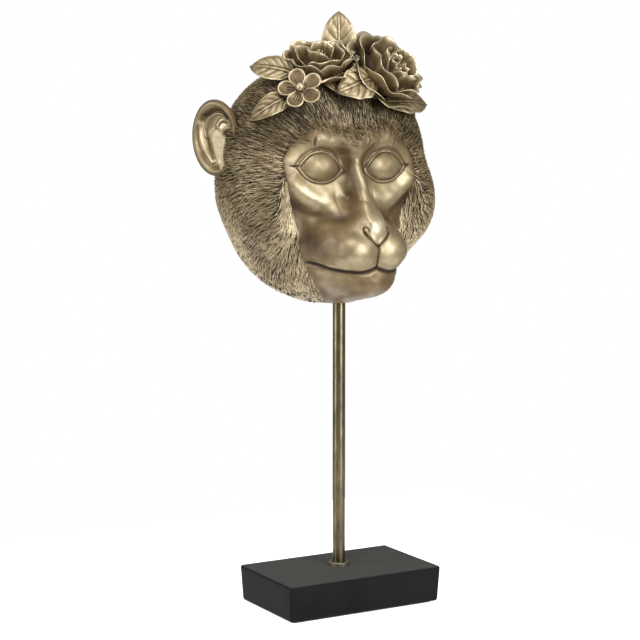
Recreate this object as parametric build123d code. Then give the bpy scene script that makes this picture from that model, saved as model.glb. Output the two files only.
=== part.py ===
"""Monkey mask ornament on a rod: a hollow cast head with a flower crown, a steel rod and a block base.

The head is one smooth surface, a skull with rounded forms blended onto it, given as a field that is
negative inside. Level outlines of that field are lofted from chin to crown, and the back is cut flat
and open. Ears, roses, blossom and leaves are separate castings, each trimmed to what carries it.
Millimetres, +Z up, the face looks along -Y. The origin is on the resting plane, under the rod's axis.
"""
from build123d import *
import math
import os
import numpy as np

# Base block, felt and foot fastener
BASE_LENGTH = 110.0
BASE_DEPTH = 67.5
BASE_HEIGHT = 23.0
BASE_TAPER = 1.3
BASE_EDGE_RADIUS = 1.2
BASE_FORWARD_SHIFT = 1.8
FELT_THICKNESS = 1.0
FELT_INSET = 3.0
FELT_CORNER_RADIUS = 2.0
FOOT_SOCKET_DEPTH = 8.0
COUNTERBORE_DIAMETER = 17.0
COUNTERBORE_DEPTH = 7.0
SCREW_DIAMETER = 5.0
SCREW_LENGTH = 18.0
SCREW_HEAD_DIAMETER = 9.0
SCREW_HEAD_HEIGHT = 3.6
SCREW_HEAD_ROUND = 0.9
SCREW_DRIVE_WIDTH = 3.0
SCREW_DRIVE_DEPTH = 1.8
WASHER_THICKNESS = 1.2
WASHER_DIAMETER = 15.0

# Rod and collar
ROD_DIAMETER = 8.0
ROD_CLEARANCE = 0.1
ROD_EDGE_CHAMFER = 0.4
COLLAR_DIAMETER = 13.5
COLLAR_HEIGHT = 2.4
COLLAR_EDGE_RADIUS = 0.6
TAPPED_DEPTH = 12.0
SPIGOT_DIAMETER = 6.0
SPIGOT_CLEARANCE = 0.2
NUT_WIDTH = 10.0
NUT_HEIGHT = 5.0
SPIGOT_PROUD = 1.5

# Head
HEAD_WIDTH = 140.0
HEAD_HEIGHT = 148.0
HEAD_DEPTH = 92.0
EYE_LEVEL = 277.8
HEAD_WALL = 6.0
HEAD_SOCKET_DEPTH = 8.0
BOSS_FLOOR = 8.0
BOSS_DIAMETER = 24.0

# Ears: facing is the turn of the open side from straight forward, lean is outwards at the top
EAR_WIDTH = 33.0
EAR_HEIGHT = 47.0
EAR_DEPTH = 9.0
EAR_RIM = 3.6
EAR_FACING = 59.0
EAR_LEAN = 4.0

# Flower crown
ROSE_LARGE_DIAMETER = 56.0
ROSE_SMALL_DIAMETER = 46.0
PETAL_THICKNESS = 1.8
BLOSSOM_DIAMETER = 26.0
BLOSSOM_THICKNESS = 3.0
BLOSSOM_DISH = 1.0
BLOSSOM_STEM_LENGTH = 12.0
LEAF_THICKNESS = 2.0
LEAF_LENGTH = 28.0
LEAF_WIDTH = 15.0

OVERRUN = 1.0

# Unit head: half the width is 1, eye level is 0, and the spans below are its height and depth
UNIT_HEIGHT_SHARE = 2.114
UNIT_DEPTH_SHARE = 1.314
CHIN_SHARE = -1.207
CROWN_SHARE = 0.907
BACK_SHARE = 0.629
SKULL_CENTRE_SHARES = (0, 0.286, -0.143)
SKULL_FRONT_SHARE = 0.543
SKULL_REAR_SHARE = 0.886
SKULL_HEIGHT_SHARE = 1.071
SKULL_ROUND_SHARES = (2.5, 2.0, 2.35, 2.12)    # roundness in front, behind, above and below
JAW_REAR_LOSS_SHARE = 0.286
JAW_START_SHARE = 0.1
JAW_RUN_SHARE = 0.45
RAY_TO_NORMAL_SHARE = 0.9
AXIS_LEAN_SHARES = (0.03, 0.27)    # how far behind the rod the level outlines turn, at chin and crown
SLOPE_STEP_SHARE = 0.01

# An inner outline shorter than the head at both ends leaves a wall there too
HOLLOW_SHARE = 0.885

# Rounded forms on each side of the middle: centre, radii, blend
SMOOTH_FORM_SHARES = (
    ((0.69, 0.03, -0.31), (0.29, 0.29, 0.39), 0.14),    # cheek ruff
    ((0, 0.03, -0.86), (0.54, 0.46, 0.365), 0.115),     # jaw
    ((0, -0.23, -0.69), (0.47, 0.44, 0.37), 0.115),     # muzzle
)
FACE_FORM_SHARES = (
    ((0.157, -0.557, -0.714), (0.186, 0.15, 0.157), 0.07),    # upper lip pad
    ((0, -0.393, -0.964), (0.30, 0.25, 0.186), 0.086),        # chin
    ((0, -0.571, -0.529), (0.114, 0.10, 0.093), 0.057),       # nose tip
    ((0.414, -0.086, -0.257), (0.20, 0.114, 0.129), 0.114),   # cheekbone
)
# Tapered ridges: start, end, radius at each, blend
RIDGE_SHARES = (
    ((0, -0.20, 0.057), (0, -0.557, -0.50), 0.086, 0.079, 0.114),         # nose bridge
    ((0, -0.286, 0.214), (0.343, -0.20, 0.257), 0.10, 0.071, 0.10),       # inner brow
    ((0.343, -0.20, 0.257), (0.60, -0.014, 0.086), 0.071, 0.057, 0.10),   # outer brow
)
# Forms scooped out: the hollow of the cheek inside its ruff, and the eye socket
CHEEK_HOLLOW_SHARES = ((0.535, -0.41, -0.33), (0.19, 0.28, 0.28), 0.10)
SOCKET_SHARES = ((0.30, -0.357, 0), (0.229, 0.186, 0.157), 0.071)
EYE_CENTRE_SHARES = (0.314, -0.114, 0.007)
EYE_RADII_SHARES = (0.236, 0.171, 0.164)

# Ear: the middle of its root on the head, over the unit head, and its inner fold over the rim
EAR_ROOT_SHARES = (0.907, 0.20, 0.257)
EAR_FOLD_SHARES = (1.7, 2.5)

# Rose: petal bowls as radius and height over the diameter, petals and turn, then bud and calyx as
# radius and height over the diameter, and the notch between petals over the bowl's rim
BOWL_SHARES = ((0.60, 0.25, 5, 0), (0.40, 0.38, 4, 30), (0.25, 0.44, 3, 10))
BUD_SHARES = (0.12, 0.40)
CALYX_SHARES = (0.27, 0.02)
NOTCH_SHARE = 0.20

# Blossom: petal disc and ball over half the diameter, and the ball's bulge over its stem
PETAL_DISC_SHARE = 0.46
BALL_SHARE = 0.20
BALL_BULGE_SHARE = 1.1

# Leaf: fold over the width, bend over the length, outlines as length and half width over those
FOLD_SHARE = 0.22
BEND_SHARE = 1.6
LEAF_OUTLINE_SHARES = ((0, 0), (0.14, 0.30), (0.42, 0.50), (0.76, 0.27), (1, 0))
TOP_OUTLINE_SHARES = ((0, 0), (0.22, 0.24), (0.58, 0.50), (0.86, 0.24), (1, 0))

# Flowers: angles of the place on the head, lift over the diameter, angles of the way that it opens
ROSE_LARGE_PLACE = (50, 64, -0.02, 24, 34)
ROSE_SMALL_PLACE = (-35, 71, -0.06, -25, 56)
BLOSSOM_PLACE = (-51, 54.5, 0.20, -36, 30)
# Leaves: length and width over the named leaf, angles of root and tip, lift of each over the width,
# and how far the leaf turns from the head's own slope towards the front
LEAF_SHARES = {
    "leaf_left_high": (1.1, 1.1, (-58, 61), (-85, 53), 0.25, 0.55, 1.6),
    "leaf_left_low": (1.05, 1.0, (-55, 51), (-72, 33), 0.15, 0.35, 0),
    "leaf_front": (1.1, 1.35, (36, 63), (-9, 61.5), 0.35, 0.35, 0.6),
    "leaf_right": (1.42, 1.15, (38, 52), (76, 35), 0.25, 0.85, 0.4),
    "leaf_under_rose": (1.0, 1.1, (-35, 65), (5, 63), 0.20, 0.20, 0),
}
# The upright leaf: length and width over the named leaf, angles of its root, lift, and its turn
TOP_LEAF_SHARES = (1.39, 1.5, (10, 75.5), -0.38, -30)

# Counts: outlines and points of each loft, halvings of a ray, petals of the blossom
OUTER_LEVELS, OUTER_SPOKES = 28, 48
INNER_LEVELS, INNER_SPOKES = 20, 40
HALVINGS = 24
BLOSSOM_PETALS = 5

HALF_WIDTH = HEAD_WIDTH / 2
UNIT = np.array([HALF_WIDTH, HEAD_DEPTH / UNIT_DEPTH_SHARE, HEAD_HEIGHT / UNIT_HEIGHT_SHARE])
BACK = BACK_SHARE * UNIT[1]
BASE_TOP = FELT_THICKNESS + BASE_HEIGHT
FAR = HEAD_WIDTH + HEAD_HEIGHT
WASHER_BOTTOM = FELT_THICKNESS + COUNTERBORE_DEPTH - WASHER_THICKNESS
ROD_FOOT = BASE_TOP - FOOT_SOCKET_DEPTH
HEAD_UNDERSIDE = EYE_LEVEL + CHIN_SHARE * UNIT[2]
ROD_SHOULDER = HEAD_UNDERSIDE + HEAD_SOCKET_DEPTH
BOSS_TOP = ROD_SHOULDER + BOSS_FLOOR
SPIGOT_TOP = BOSS_TOP + WASHER_THICKNESS + NUT_HEIGHT + SPIGOT_PROUD

STANDING = (Align.CENTER, Align.CENTER, Align.MIN)
HANGING = (Align.CENTER, Align.CENTER, Align.MAX)


def blend(a, b, reach):
    """Smooth minimum of two fields."""
    h = np.clip(0.5 + 0.5 * (b - a) / reach, 0, 1)
    return b + (a - b) * h - reach * h * (1 - h)


def ellipsoid(points, centre, radii):
    """Approximate distance to an ellipsoid, in head units."""
    q = (points - np.array(centre)) / np.array(radii)
    level = np.linalg.norm(q, axis=-1)
    return level * (level - 1) / np.maximum(np.linalg.norm(q / np.array(radii), axis=-1), 1e-9)


def ridge(points, start, end, start_radius, end_radius):
    """Distance to a tapered rod with round ends, in head units."""
    run = np.array(end) - np.array(start)
    away = points - np.array(start)
    along = np.clip(away @ run / (run @ run), 0, 1)
    radius = start_radius + (end_radius - start_radius) * along
    return np.linalg.norm(away - along[..., None] * run, axis=-1) - radius


def scooped(level, points, shares):
    """A field with an ellipsoid taken out of it, its edge rounded."""
    centre, radii, reach = shares
    return -blend(-level, ellipsoid(points, centre, radii), reach)


def skull(points):
    """Distance along the ray to a rounded skull, flatter in front, that draws in under the jaw."""
    q = points - np.array(SKULL_CENTRE_SHARES)
    distance = np.maximum(np.linalg.norm(q, axis=-1), 1e-9)
    x, y, z = np.moveaxis(q / distance[..., None], -1, 0)
    low = np.clip((-z - JAW_START_SHARE) / JAW_RUN_SHARE, 0, 1)
    low = low * low * (3 - 2 * low)
    front, rear, upper, lower = SKULL_ROUND_SHARES
    power = np.where(y < 0, front, rear)
    depth = np.where(y < 0, SKULL_FRONT_SHARE, SKULL_REAR_SHARE - JAW_REAR_LOSS_SHARE * low)
    level = (np.abs(x) ** power + (np.abs(y) / depth) ** power) ** (1 / power)
    rise = np.where(z > 0, upper, lower)
    radius = (level ** rise + (np.abs(z) / SKULL_HEIGHT_SHARE) ** rise) ** (-1 / rise)
    return RAY_TO_NORMAL_SHARE * (distance - radius)


def on_one_side(points):
    """The same points, all brought to one side of the middle."""
    return np.concatenate((np.abs(points[..., :1]), points[..., 1:]), -1)


def plain_field(points):
    """The head without its features, for the hollow: skull, ruffs, jaw and muzzle, and the cheek hollows."""
    sided = on_one_side(points)
    level = skull(sided)
    for centre, radii, reach in SMOOTH_FORM_SHARES:
        level = blend(level, ellipsoid(sided, centre, radii), reach)
    return scooped(level, sided, CHEEK_HOLLOW_SHARES)


def head_field(points):
    """The whole head: plain forms, face forms and ridges, with a socket scooped out round each eye."""
    sided = on_one_side(points)
    level = plain_field(points)
    for centre, radii, reach in FACE_FORM_SHARES:
        level = blend(level, ellipsoid(sided, centre, radii), reach)
    for start, end, start_radius, end_radius, reach in RIDGE_SHARES:
        level = blend(level, ridge(sided, start, end, start_radius, end_radius), reach)
    return scooped(level, sided, SOCKET_SHARES)


def cast_rays(field, origins, directions, wall):
    """Distance, in head units, from each origin to the field's surface, a wall's thickness inside it."""
    near = np.zeros(directions.shape[:-1])
    far = near + 2
    for _ in range(HALVINGS):
        middle = (near + far) / 2
        inside = field(origins + middle[..., None] * directions) + wall / HALF_WIDTH < 0
        near = np.where(inside, middle, near)
        far = np.where(inside, far, middle)
    return near


def lofted_head(field, lowest, highest, wall, levels, spokes):
    """Loft closed level outlines of the field, closer together towards the chin and the crown."""
    step = np.linspace(-1, 1, levels)
    height = np.where(step < 0, -lowest, highest) * np.sin(step * math.pi / 2)
    turn = np.linspace(0, 2 * math.pi, spokes, endpoint=False)
    axis_lean = np.interp(height, (lowest, highest), AXIS_LEAN_SHARES)
    directions = np.stack(np.broadcast_arrays(np.sin(turn), -np.cos(turn), 0 * height[:, None]), -1)
    origins = np.stack(np.broadcast_arrays(0 * turn, axis_lean[:, None], height[:, None]), -1)
    points = (origins + cast_rays(field, origins, directions, wall)[..., None] * directions) * UNIT
    points[..., 2] += EYE_LEVEL
    knots = [index / spokes for index in range(spokes + 1)]
    outlines = []
    for row in points:
        corners = [Vector(*map(float, point)) for point in row]
        outlines.append(Wire(Edge.make_spline(corners, periodic=True, parameters=knots)))
    return Solid.make_loft(outlines)


def way(azimuth, elevation):
    """A direction from its angles in degrees, azimuth 0 straight forward and positive to the left."""
    across, up = math.radians(azimuth), math.radians(elevation)
    return np.array([math.cos(up) * math.sin(across), -math.cos(up) * math.cos(across), math.sin(up)])


def seat(azimuth, elevation):
    """Point on the head and its outward normal, seen from the skull's centre at these angles."""
    direction = way(azimuth, elevation)
    centre = np.array(SKULL_CENTRE_SHARES)
    point = centre + cast_rays(head_field, centre[None], direction[None], 0)[0] * direction
    nudges = np.eye(3) * SLOPE_STEP_SHARE
    slope = head_field(point + nudges) - head_field(point - nudges)
    place = Vector(*map(float, point * UNIT)) + Vector(0, 0, EYE_LEVEL)
    return place, Vector(*map(float, slope / UNIT)).normalized()


def largest(shape):
    """The biggest solid of a shape, without the chips that a trim leaves behind."""
    return max(shape.solids(), key=lambda solid: solid.volume)


def trimmed(piece, *carriers):
    """A piece cut to lie face to face with what carries it."""
    for carrier in carriers:
        piece = largest(piece - carrier)
    return piece


# Base, rod and fasteners


def base_block():
    """A block that narrows a little towards its foot, bored for the rod and the screw under it."""
    foot = Rectangle(BASE_LENGTH - 2 * BASE_TAPER, BASE_DEPTH - 2 * BASE_TAPER)
    top = Rectangle(BASE_LENGTH, BASE_DEPTH)
    forward = Pos(0, -BASE_FORWARD_SHIFT, 0)
    block = loft([forward * Pos(0, 0, FELT_THICKNESS) * foot, forward * Pos(0, 0, BASE_TOP) * top])
    block = fillet(block.edges(), BASE_EDGE_RADIUS)
    socket = Cylinder(ROD_DIAMETER / 2 + ROD_CLEARANCE, FOOT_SOCKET_DEPTH + OVERRUN, align=STANDING)
    shaft = Cylinder(SCREW_DIAMETER / 2 + SPIGOT_CLEARANCE, BASE_TOP, align=STANDING)
    recess = Cylinder(COUNTERBORE_DIAMETER / 2, COUNTERBORE_DEPTH + OVERRUN, align=HANGING)
    return block - Pos(0, 0, ROD_FOOT) * socket - shaft - Pos(0, 0, FELT_THICKNESS + COUNTERBORE_DEPTH) * recess


def felt_sheet():
    """A felt sheet glued under the block, a little smaller than its foot."""
    inset = 2 * (BASE_TAPER + FELT_INSET)
    outline = RectangleRounded(BASE_LENGTH - inset, BASE_DEPTH - inset, FELT_CORNER_RADIUS)
    return Pos(0, -BASE_FORWARD_SHIFT, 0) * extrude(outline, FELT_THICKNESS)


def washer(height, bore):
    """A flat washer with its lower face at this height."""
    ring = Circle(WASHER_DIAMETER / 2) - Circle(bore / 2)
    return Pos(0, 0, height) * extrude(ring, WASHER_THICKNESS)


def foot_screw():
    """A pan-head screw that pulls the rod down into the block, with a hexagonal drive."""
    head = Cylinder(SCREW_HEAD_DIAMETER / 2, SCREW_HEAD_HEIGHT, align=STANDING)
    head = fillet(head.edges().sort_by(Axis.Z)[0], SCREW_HEAD_ROUND)
    shank = Pos(0, 0, SCREW_HEAD_HEIGHT) * Cylinder(SCREW_DIAMETER / 2, SCREW_LENGTH, align=STANDING)
    drive = extrude(RegularPolygon(SCREW_DRIVE_WIDTH / 2, 6, major_radius=False), SCREW_DRIVE_DEPTH)
    return Pos(0, 0, WASHER_BOTTOM - SCREW_HEAD_HEIGHT) * (head + shank - drive)


def rod():
    """The plain rod, tapped at its foot, with a threaded spigot at its top."""
    length = ROD_SHOULDER - ROD_FOOT
    bar = Cylinder(ROD_DIAMETER / 2, length, align=STANDING)
    bar = chamfer(bar.edges().filter_by(GeomType.CIRCLE), ROD_EDGE_CHAMFER)
    spigot = Pos(0, 0, length) * Cylinder(SPIGOT_DIAMETER / 2, SPIGOT_TOP - ROD_SHOULDER, align=STANDING)
    tapping = Cylinder(SCREW_DIAMETER / 2, TAPPED_DEPTH, align=STANDING)
    return Pos(0, 0, ROD_FOOT) * (bar + spigot - tapping)


def collar():
    """The round foot collar that hides the rod's socket."""
    ring = extrude(Circle(COLLAR_DIAMETER / 2), COLLAR_HEIGHT)
    ring = fillet(ring.edges().sort_by(Axis.Z)[-1], COLLAR_EDGE_RADIUS)
    ring -= Cylinder(ROD_DIAMETER / 2 + ROD_CLEARANCE, 2 * (COLLAR_HEIGHT + OVERRUN))
    return Pos(0, 0, BASE_TOP) * ring


def head_nut():
    """The hexagonal nut inside the head that clamps it down on the rod's shoulder."""
    outline = RegularPolygon(NUT_WIDTH / 2, 6, major_radius=False) - Circle(SPIGOT_DIAMETER / 2)
    return Pos(0, 0, BOSS_TOP + WASHER_THICKNESS) * extrude(outline, NUT_HEIGHT)


# Head


def solid_head():
    """The head's outer form, unhollowed: the lofted field with a domed eye in each socket."""
    outer = lofted_head(head_field, CHIN_SHARE, CROWN_SHARE, 0, OUTER_LEVELS, OUTER_SPOKES)
    across, depth, height = (float(value) for value in EYE_CENTRE_SHARES * UNIT)
    radii = tuple(float(value) for value in EYE_RADII_SHARES * UNIT)
    for side in (-1, 1):
        outer += Pos(side * across, depth, EYE_LEVEL + height) * scale(Sphere(1), by=radii)
    return outer


def head_shell(outer):
    """The hollow open-backed head, with a boss inside the chin that takes the rod."""
    low, high = CHIN_SHARE * HOLLOW_SHARE, CROWN_SHARE * HOLLOW_SHARE
    hollow = lofted_head(plain_field, low, high, HEAD_WALL, INNER_LEVELS, INNER_SPOKES)
    boss = Pos(0, 0, BOSS_TOP) * Cylinder(BOSS_DIAMETER / 2, HEAD_HEIGHT / 2, align=HANGING)
    bore = Cylinder(ROD_DIAMETER / 2 + ROD_CLEARANCE, HEAD_HEIGHT / 2, align=HANGING)
    passage = Cylinder(SPIGOT_DIAMETER / 2 + SPIGOT_CLEARANCE, 2 * (BOSS_FLOOR + OVERRUN))
    shell = outer - (hollow - boss)
    return largest(shell - behind() - Pos(0, 0, ROD_SHOULDER) * bore - Pos(0, 0, ROD_SHOULDER) * passage)


def behind():
    """Everything behind the flat open back of the head."""
    return Pos(0, BACK, EYE_LEVEL) * Box(FAR, FAR, FAR, align=(Align.CENTER, Align.MIN, Align.CENTER))


def ear(side):
    """A cupped ear with a rolled rim and an inner fold, its root on the side of the head."""
    half_width, half_height = EAR_WIDTH / 2, EAR_HEIGHT / 2
    outer_fold, inner_fold = (share * EAR_RIM for share in EAR_FOLD_SHARES)
    body = scale(Sphere(1), by=(half_width, half_height, EAR_DEPTH))
    body -= Pos(0, 0, EAR_RIM / 2) * Box(FAR, FAR, FAR, align=STANDING)
    bowl = Pos(0, 0, EAR_RIM) * scale(Sphere(1), by=(half_width - EAR_RIM, half_height - EAR_RIM, EAR_DEPTH))
    fold = scale(Sphere(1), by=(half_width - outer_fold, half_height - outer_fold, EAR_DEPTH))
    fold -= scale(Sphere(1), by=(half_width - inner_fold, half_height - inner_fold, FAR))
    fold &= Pos(0, 0, -EAR_RIM / 2) * Box(FAR, FAR, FAR, align=HANGING)
    shape = body - bowl + (fold & body)
    facing = math.radians(EAR_FACING)
    root = Vector(*(float(value) for value in EAR_ROOT_SHARES * UNIT * (side, 1, 1))) + Vector(0, 0, EYE_LEVEL)
    outward = Vector(side * math.cos(facing), math.sin(facing), 0)
    forward = Vector(side * math.sin(facing), -math.cos(facing), 0)
    place = Plane(origin=root + outward * half_width, x_dir=outward * -side, z_dir=forward)
    return place.location * Rot(0, 0, EAR_LEAN * side) * shape


# Crown


def petal_bowl(radius, height, thickness, petals, turn):
    """A round bowl of joined petals: part of a hollow ball, its rim cut by a notch between petals."""
    ball = Pos(0, 0, radius) * (Sphere(radius) - Sphere(radius - thickness))
    rim = math.sqrt(radius ** 2 - (radius - height) ** 2)
    bowl = ball - Pos(0, 0, height) * Box(FAR, FAR, FAR, align=STANDING)
    notch = Pos(rim, 0, height) * Rot(0, 90, 0) * Cylinder(rim * NOTCH_SHARE, rim)
    for index in range(petals):
        bowl -= Rot(0, 0, turn + 360 * index / petals) * notch
    return bowl


def bowl_core(radius, height):
    """The filled form of a petal bowl, for trimming what lies against it."""
    return Pos(0, 0, radius) * Sphere(radius) - Pos(0, 0, height) * Box(FAR, FAR, FAR, align=STANDING)


def calyx(diameter):
    """The round calyx under a rose."""
    radius, height = CALYX_SHARES
    return Pos(0, 0, height * diameter) * Sphere(radius * diameter)


def rose(diameter):
    """A rose that opens along +Z: nested petal bowls round a bud, on a round calyx."""
    shape = Pos(0, 0, diameter * BUD_SHARES[1]) * Sphere(diameter * BUD_SHARES[0])
    for radius, height, petals, turn in BOWL_SHARES:
        shape += petal_bowl(radius * diameter, height * diameter, PETAL_THICKNESS, petals, turn)
    return shape + calyx(diameter)


def rose_core(diameter):
    """The space that a rose takes up."""
    shape = calyx(diameter)
    for radius, height, petals, turn in BOWL_SHARES:
        shape += bowl_core(radius * diameter, height * diameter)
    return shape


def blossom():
    """Five cupped petals round a ball, on a short stem."""
    reach = BLOSSOM_DIAMETER / 2
    radius = reach * PETAL_DISC_SHARE
    dish = 2 * radius
    petal = Cylinder(radius, BLOSSOM_THICKNESS, align=STANDING) - Pos(0, 0, dish + BLOSSOM_DISH) * Sphere(dish)
    stem = Cylinder(reach * BALL_SHARE, BLOSSOM_STEM_LENGTH, align=HANGING)
    shape = Pos(0, 0, BLOSSOM_THICKNESS) * stem
    for index in range(BLOSSOM_PETALS):
        shape += Rot(0, 0, 90 + 360 * index / BLOSSOM_PETALS) * Pos(reach - radius, 0, 0) * petal
    return shape + Pos(0, 0, BLOSSOM_THICKNESS) * Sphere(reach * BALL_SHARE * BALL_BULGE_SHARE)


def leaf(length, width, outline_shares):
    """A leaf along +X: a folded strip bent over a large radius, cut to a pointed outline."""
    fold = width * FOLD_SHARE
    section = Polyline(
        (0, -width, fold),
        (0, 0, 0),
        (0, width, fold),
        (0, width, fold - LEAF_THICKNESS),
        (0, 0, -LEAF_THICKNESS),
        (0, -width, fold - LEAF_THICKNESS),
        close=True,
    )
    bend = length * BEND_SHARE
    axis = Axis((0, 0, -bend), (0, 1, 0))
    strip = revolve(Face(Wire(section.edges())), axis=axis, revolution_arc=math.degrees(2 / BEND_SHARE))
    upper = [Vector(along * length, across * width, 0) for along, across in outline_shares]
    lower = [Vector(point.X, -point.Y, 0) for point in upper]
    outline = Face(Wire([Edge.make_spline(upper), Edge.make_spline(lower)]))
    prism = Pos(0, 0, -bend) * extrude(outline, 2 * bend, dir=(0, 0, 1))
    return Rot(0, -math.degrees(1 / (2 * BEND_SHARE)), 0) * largest(strip & prism)


def placed(shape, origin, along, facing):
    """Move a shape from its own frame: +X goes along, +Z as near to facing as that allows."""
    along = along.normalized()
    facing = (facing - along * facing.dot(along)).normalized()
    return Plane(origin=origin, x_dir=along, z_dir=facing).location * shape


def put_flower(shape, diameter, place):
    """Set a flower down by its row of angles, its first petal towards the top."""
    azimuth, elevation, lift, facing_azimuth, facing_elevation = place
    point, normal = seat(azimuth, elevation)
    facing = Vector(*map(float, way(facing_azimuth, facing_elevation)))
    upward = Vector(0, 0, 1) - facing * facing.Z
    return placed(shape, point + normal * lift * diameter, upward, facing)


def put_leaf(shares):
    """Set a leaf with its root at one pair of angles, pointing at another, its back to the head."""
    length, width, root, tip, lift, tip_lift, turn = shares
    width *= LEAF_WIDTH
    start, root_normal = seat(*root)
    end, tip_normal = seat(*tip)
    start += root_normal * lift * width
    end += tip_normal * tip_lift * width
    facing = root_normal + tip_normal + Vector(0, -turn, 0)
    return placed(leaf(length * LEAF_LENGTH, width, LEAF_OUTLINE_SHARES), start, end - start, facing)


def put_top_leaf():
    """Set the leaf that stands upright behind the small rose."""
    length, width, root, lift, across = TOP_LEAF_SHARES
    start, normal = seat(*root)
    start += normal * lift * LEAF_WIDTH
    facing = Vector(*map(float, way(across, 0)))
    shape = leaf(length * LEAF_LENGTH, width * LEAF_WIDTH, TOP_OUTLINE_SHARES)
    return placed(shape, start, Vector(0, 0, 1), facing)


def crown(outer):
    """Roses, blossom and leaves, each trimmed to the head and to what was placed before it."""
    pieces = {}
    carriers = [outer]
    for name, diameter, place in (
        ("rose_large", ROSE_LARGE_DIAMETER, ROSE_LARGE_PLACE),
        ("rose_small", ROSE_SMALL_DIAMETER, ROSE_SMALL_PLACE),
    ):
        pieces[name] = trimmed(put_flower(rose(diameter), diameter, place), *carriers)
        carriers.append(put_flower(rose_core(diameter), diameter, place))
    later = {"blossom": put_flower(blossom(), BLOSSOM_DIAMETER, BLOSSOM_PLACE)}
    later.update((name, put_leaf(shares)) for name, shares in LEAF_SHARES.items())
    later["leaf_top"] = put_top_leaf()
    for name, shape in later.items():
        pieces[name] = trimmed(shape, *carriers)
        carriers.append(pieces[name])
    return pieces


def build():
    """Every node by name."""
    outer = solid_head()
    mask = outer - behind()
    pieces = {
        "felt_sheet": felt_sheet(),
        "base_block": base_block(),
        "foot_washer": washer(WASHER_BOTTOM, SCREW_DIAMETER + 2 * SPIGOT_CLEARANCE),
        "foot_screw": foot_screw(),
        "rod": rod(),
        "collar": collar(),
        "head_shell": head_shell(outer),
        "head_washer": washer(BOSS_TOP, SPIGOT_DIAMETER + 2 * SPIGOT_CLEARANCE),
        "head_nut": head_nut(),
        "ear_right": trimmed(ear(-1), mask),
        "ear_left": trimmed(ear(1), mask),
    }
    pieces.update(crown(outer))
    return pieces


os.makedirs("parts", exist_ok=True)
PIECES = build()
for node, shape in PIECES.items():
    export_step(shape, f"parts/{node}.step")
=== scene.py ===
"""Looks of the monkey mask ornament: a gold-painted resin head with carved fur, modelled eyes and a
crown of roses, on a gold rod and a black block. The whole scene is in metres, and the shapes below are
worked out in millimetres and brought to metres as they become meshes.
"""
import math
import bpy
import numpy as np
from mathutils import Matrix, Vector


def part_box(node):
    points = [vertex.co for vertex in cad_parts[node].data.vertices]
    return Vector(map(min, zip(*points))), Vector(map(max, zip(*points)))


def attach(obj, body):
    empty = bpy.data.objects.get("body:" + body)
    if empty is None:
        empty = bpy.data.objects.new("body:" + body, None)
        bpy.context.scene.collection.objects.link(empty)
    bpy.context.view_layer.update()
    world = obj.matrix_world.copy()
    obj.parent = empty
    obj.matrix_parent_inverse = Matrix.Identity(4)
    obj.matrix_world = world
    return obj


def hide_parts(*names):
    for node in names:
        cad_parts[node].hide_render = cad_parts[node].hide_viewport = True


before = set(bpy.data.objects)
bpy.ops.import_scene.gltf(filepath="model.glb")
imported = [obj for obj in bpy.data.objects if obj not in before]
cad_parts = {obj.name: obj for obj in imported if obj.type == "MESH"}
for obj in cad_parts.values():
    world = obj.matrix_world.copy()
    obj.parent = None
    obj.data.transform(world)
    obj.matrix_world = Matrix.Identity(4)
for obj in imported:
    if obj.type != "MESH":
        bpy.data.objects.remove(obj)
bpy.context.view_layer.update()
SEED = 7
UP = np.array((0, 0, 1.0))

# Camera, fitted to the block's corners in the photograph
CAMERA_PLACE = (-0.5731, -0.9714, 0.3065)
CAMERA_TILT = 83.67
CAMERA_TURN = -29.93
CAMERA_LENS = 101.25
SENSOR_WIDTH = 36.0

# Head formula, in head units: half the width is 1 and eye level is 0
UNIT_HEIGHT_SHARE = 2.114
WIDEST_SHARE = 1.007
CHIN_SHARE = -1.207
BACK_SHARE = 0.629
SKULL_CENTRE_SHARES = np.array((0, 0.286, -0.143))
SKULL_FRONT_SHARE = 0.543
SKULL_REAR_SHARE = 0.886
JAW_REAR_LOSS_SHARE = 0.286
SKULL_HEIGHT_SHARE = 1.071
SKULL_ROUND_SHARES = (2.5, 2.0, 2.35, 2.12)
SMOOTH_FORM_SHARES = (
    ((0.69, 0.03, -0.31), (0.29, 0.29, 0.39), 0.14),    # cheek ruff
    ((0, 0.03, -0.86), (0.54, 0.46, 0.365), 0.115),     # jaw
    ((0, -0.23, -0.69), (0.47, 0.44, 0.37), 0.115),     # muzzle
)
FACE_FORM_SHARES = (
    ((0.157, -0.557, -0.714), (0.186, 0.15, 0.157), 0.07),    # upper lip pad
    ((0, -0.393, -0.964), (0.30, 0.25, 0.186), 0.086),        # chin
    ((0, -0.571, -0.529), (0.114, 0.10, 0.093), 0.057),       # nose tip
    ((0.414, -0.086, -0.257), (0.20, 0.114, 0.129), 0.114),   # cheekbone
)
RIDGE_SHARES = (
    ((0, -0.20, 0.057), (0, -0.557, -0.50), 0.086, 0.079, 0.114),         # nose bridge
    ((0, -0.286, 0.214), (0.343, -0.20, 0.257), 0.10, 0.071, 0.10),       # inner brow
    ((0.343, -0.20, 0.257), (0.60, -0.014, 0.086), 0.071, 0.057, 0.10),   # outer brow
)
SOCKET_SHARES = ((0.30, -0.357, 0), (0.229, 0.186, 0.157), 0.071)
CHEEK_HOLLOW_SHARES = ((0.535, -0.41, -0.33), (0.19, 0.28, 0.28), 0.10)
EYE_CENTRE_SHARES = (0.314, -0.114, 0.007)
EYE_RADII_SHARES = (0.236, 0.171, 0.164)

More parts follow.
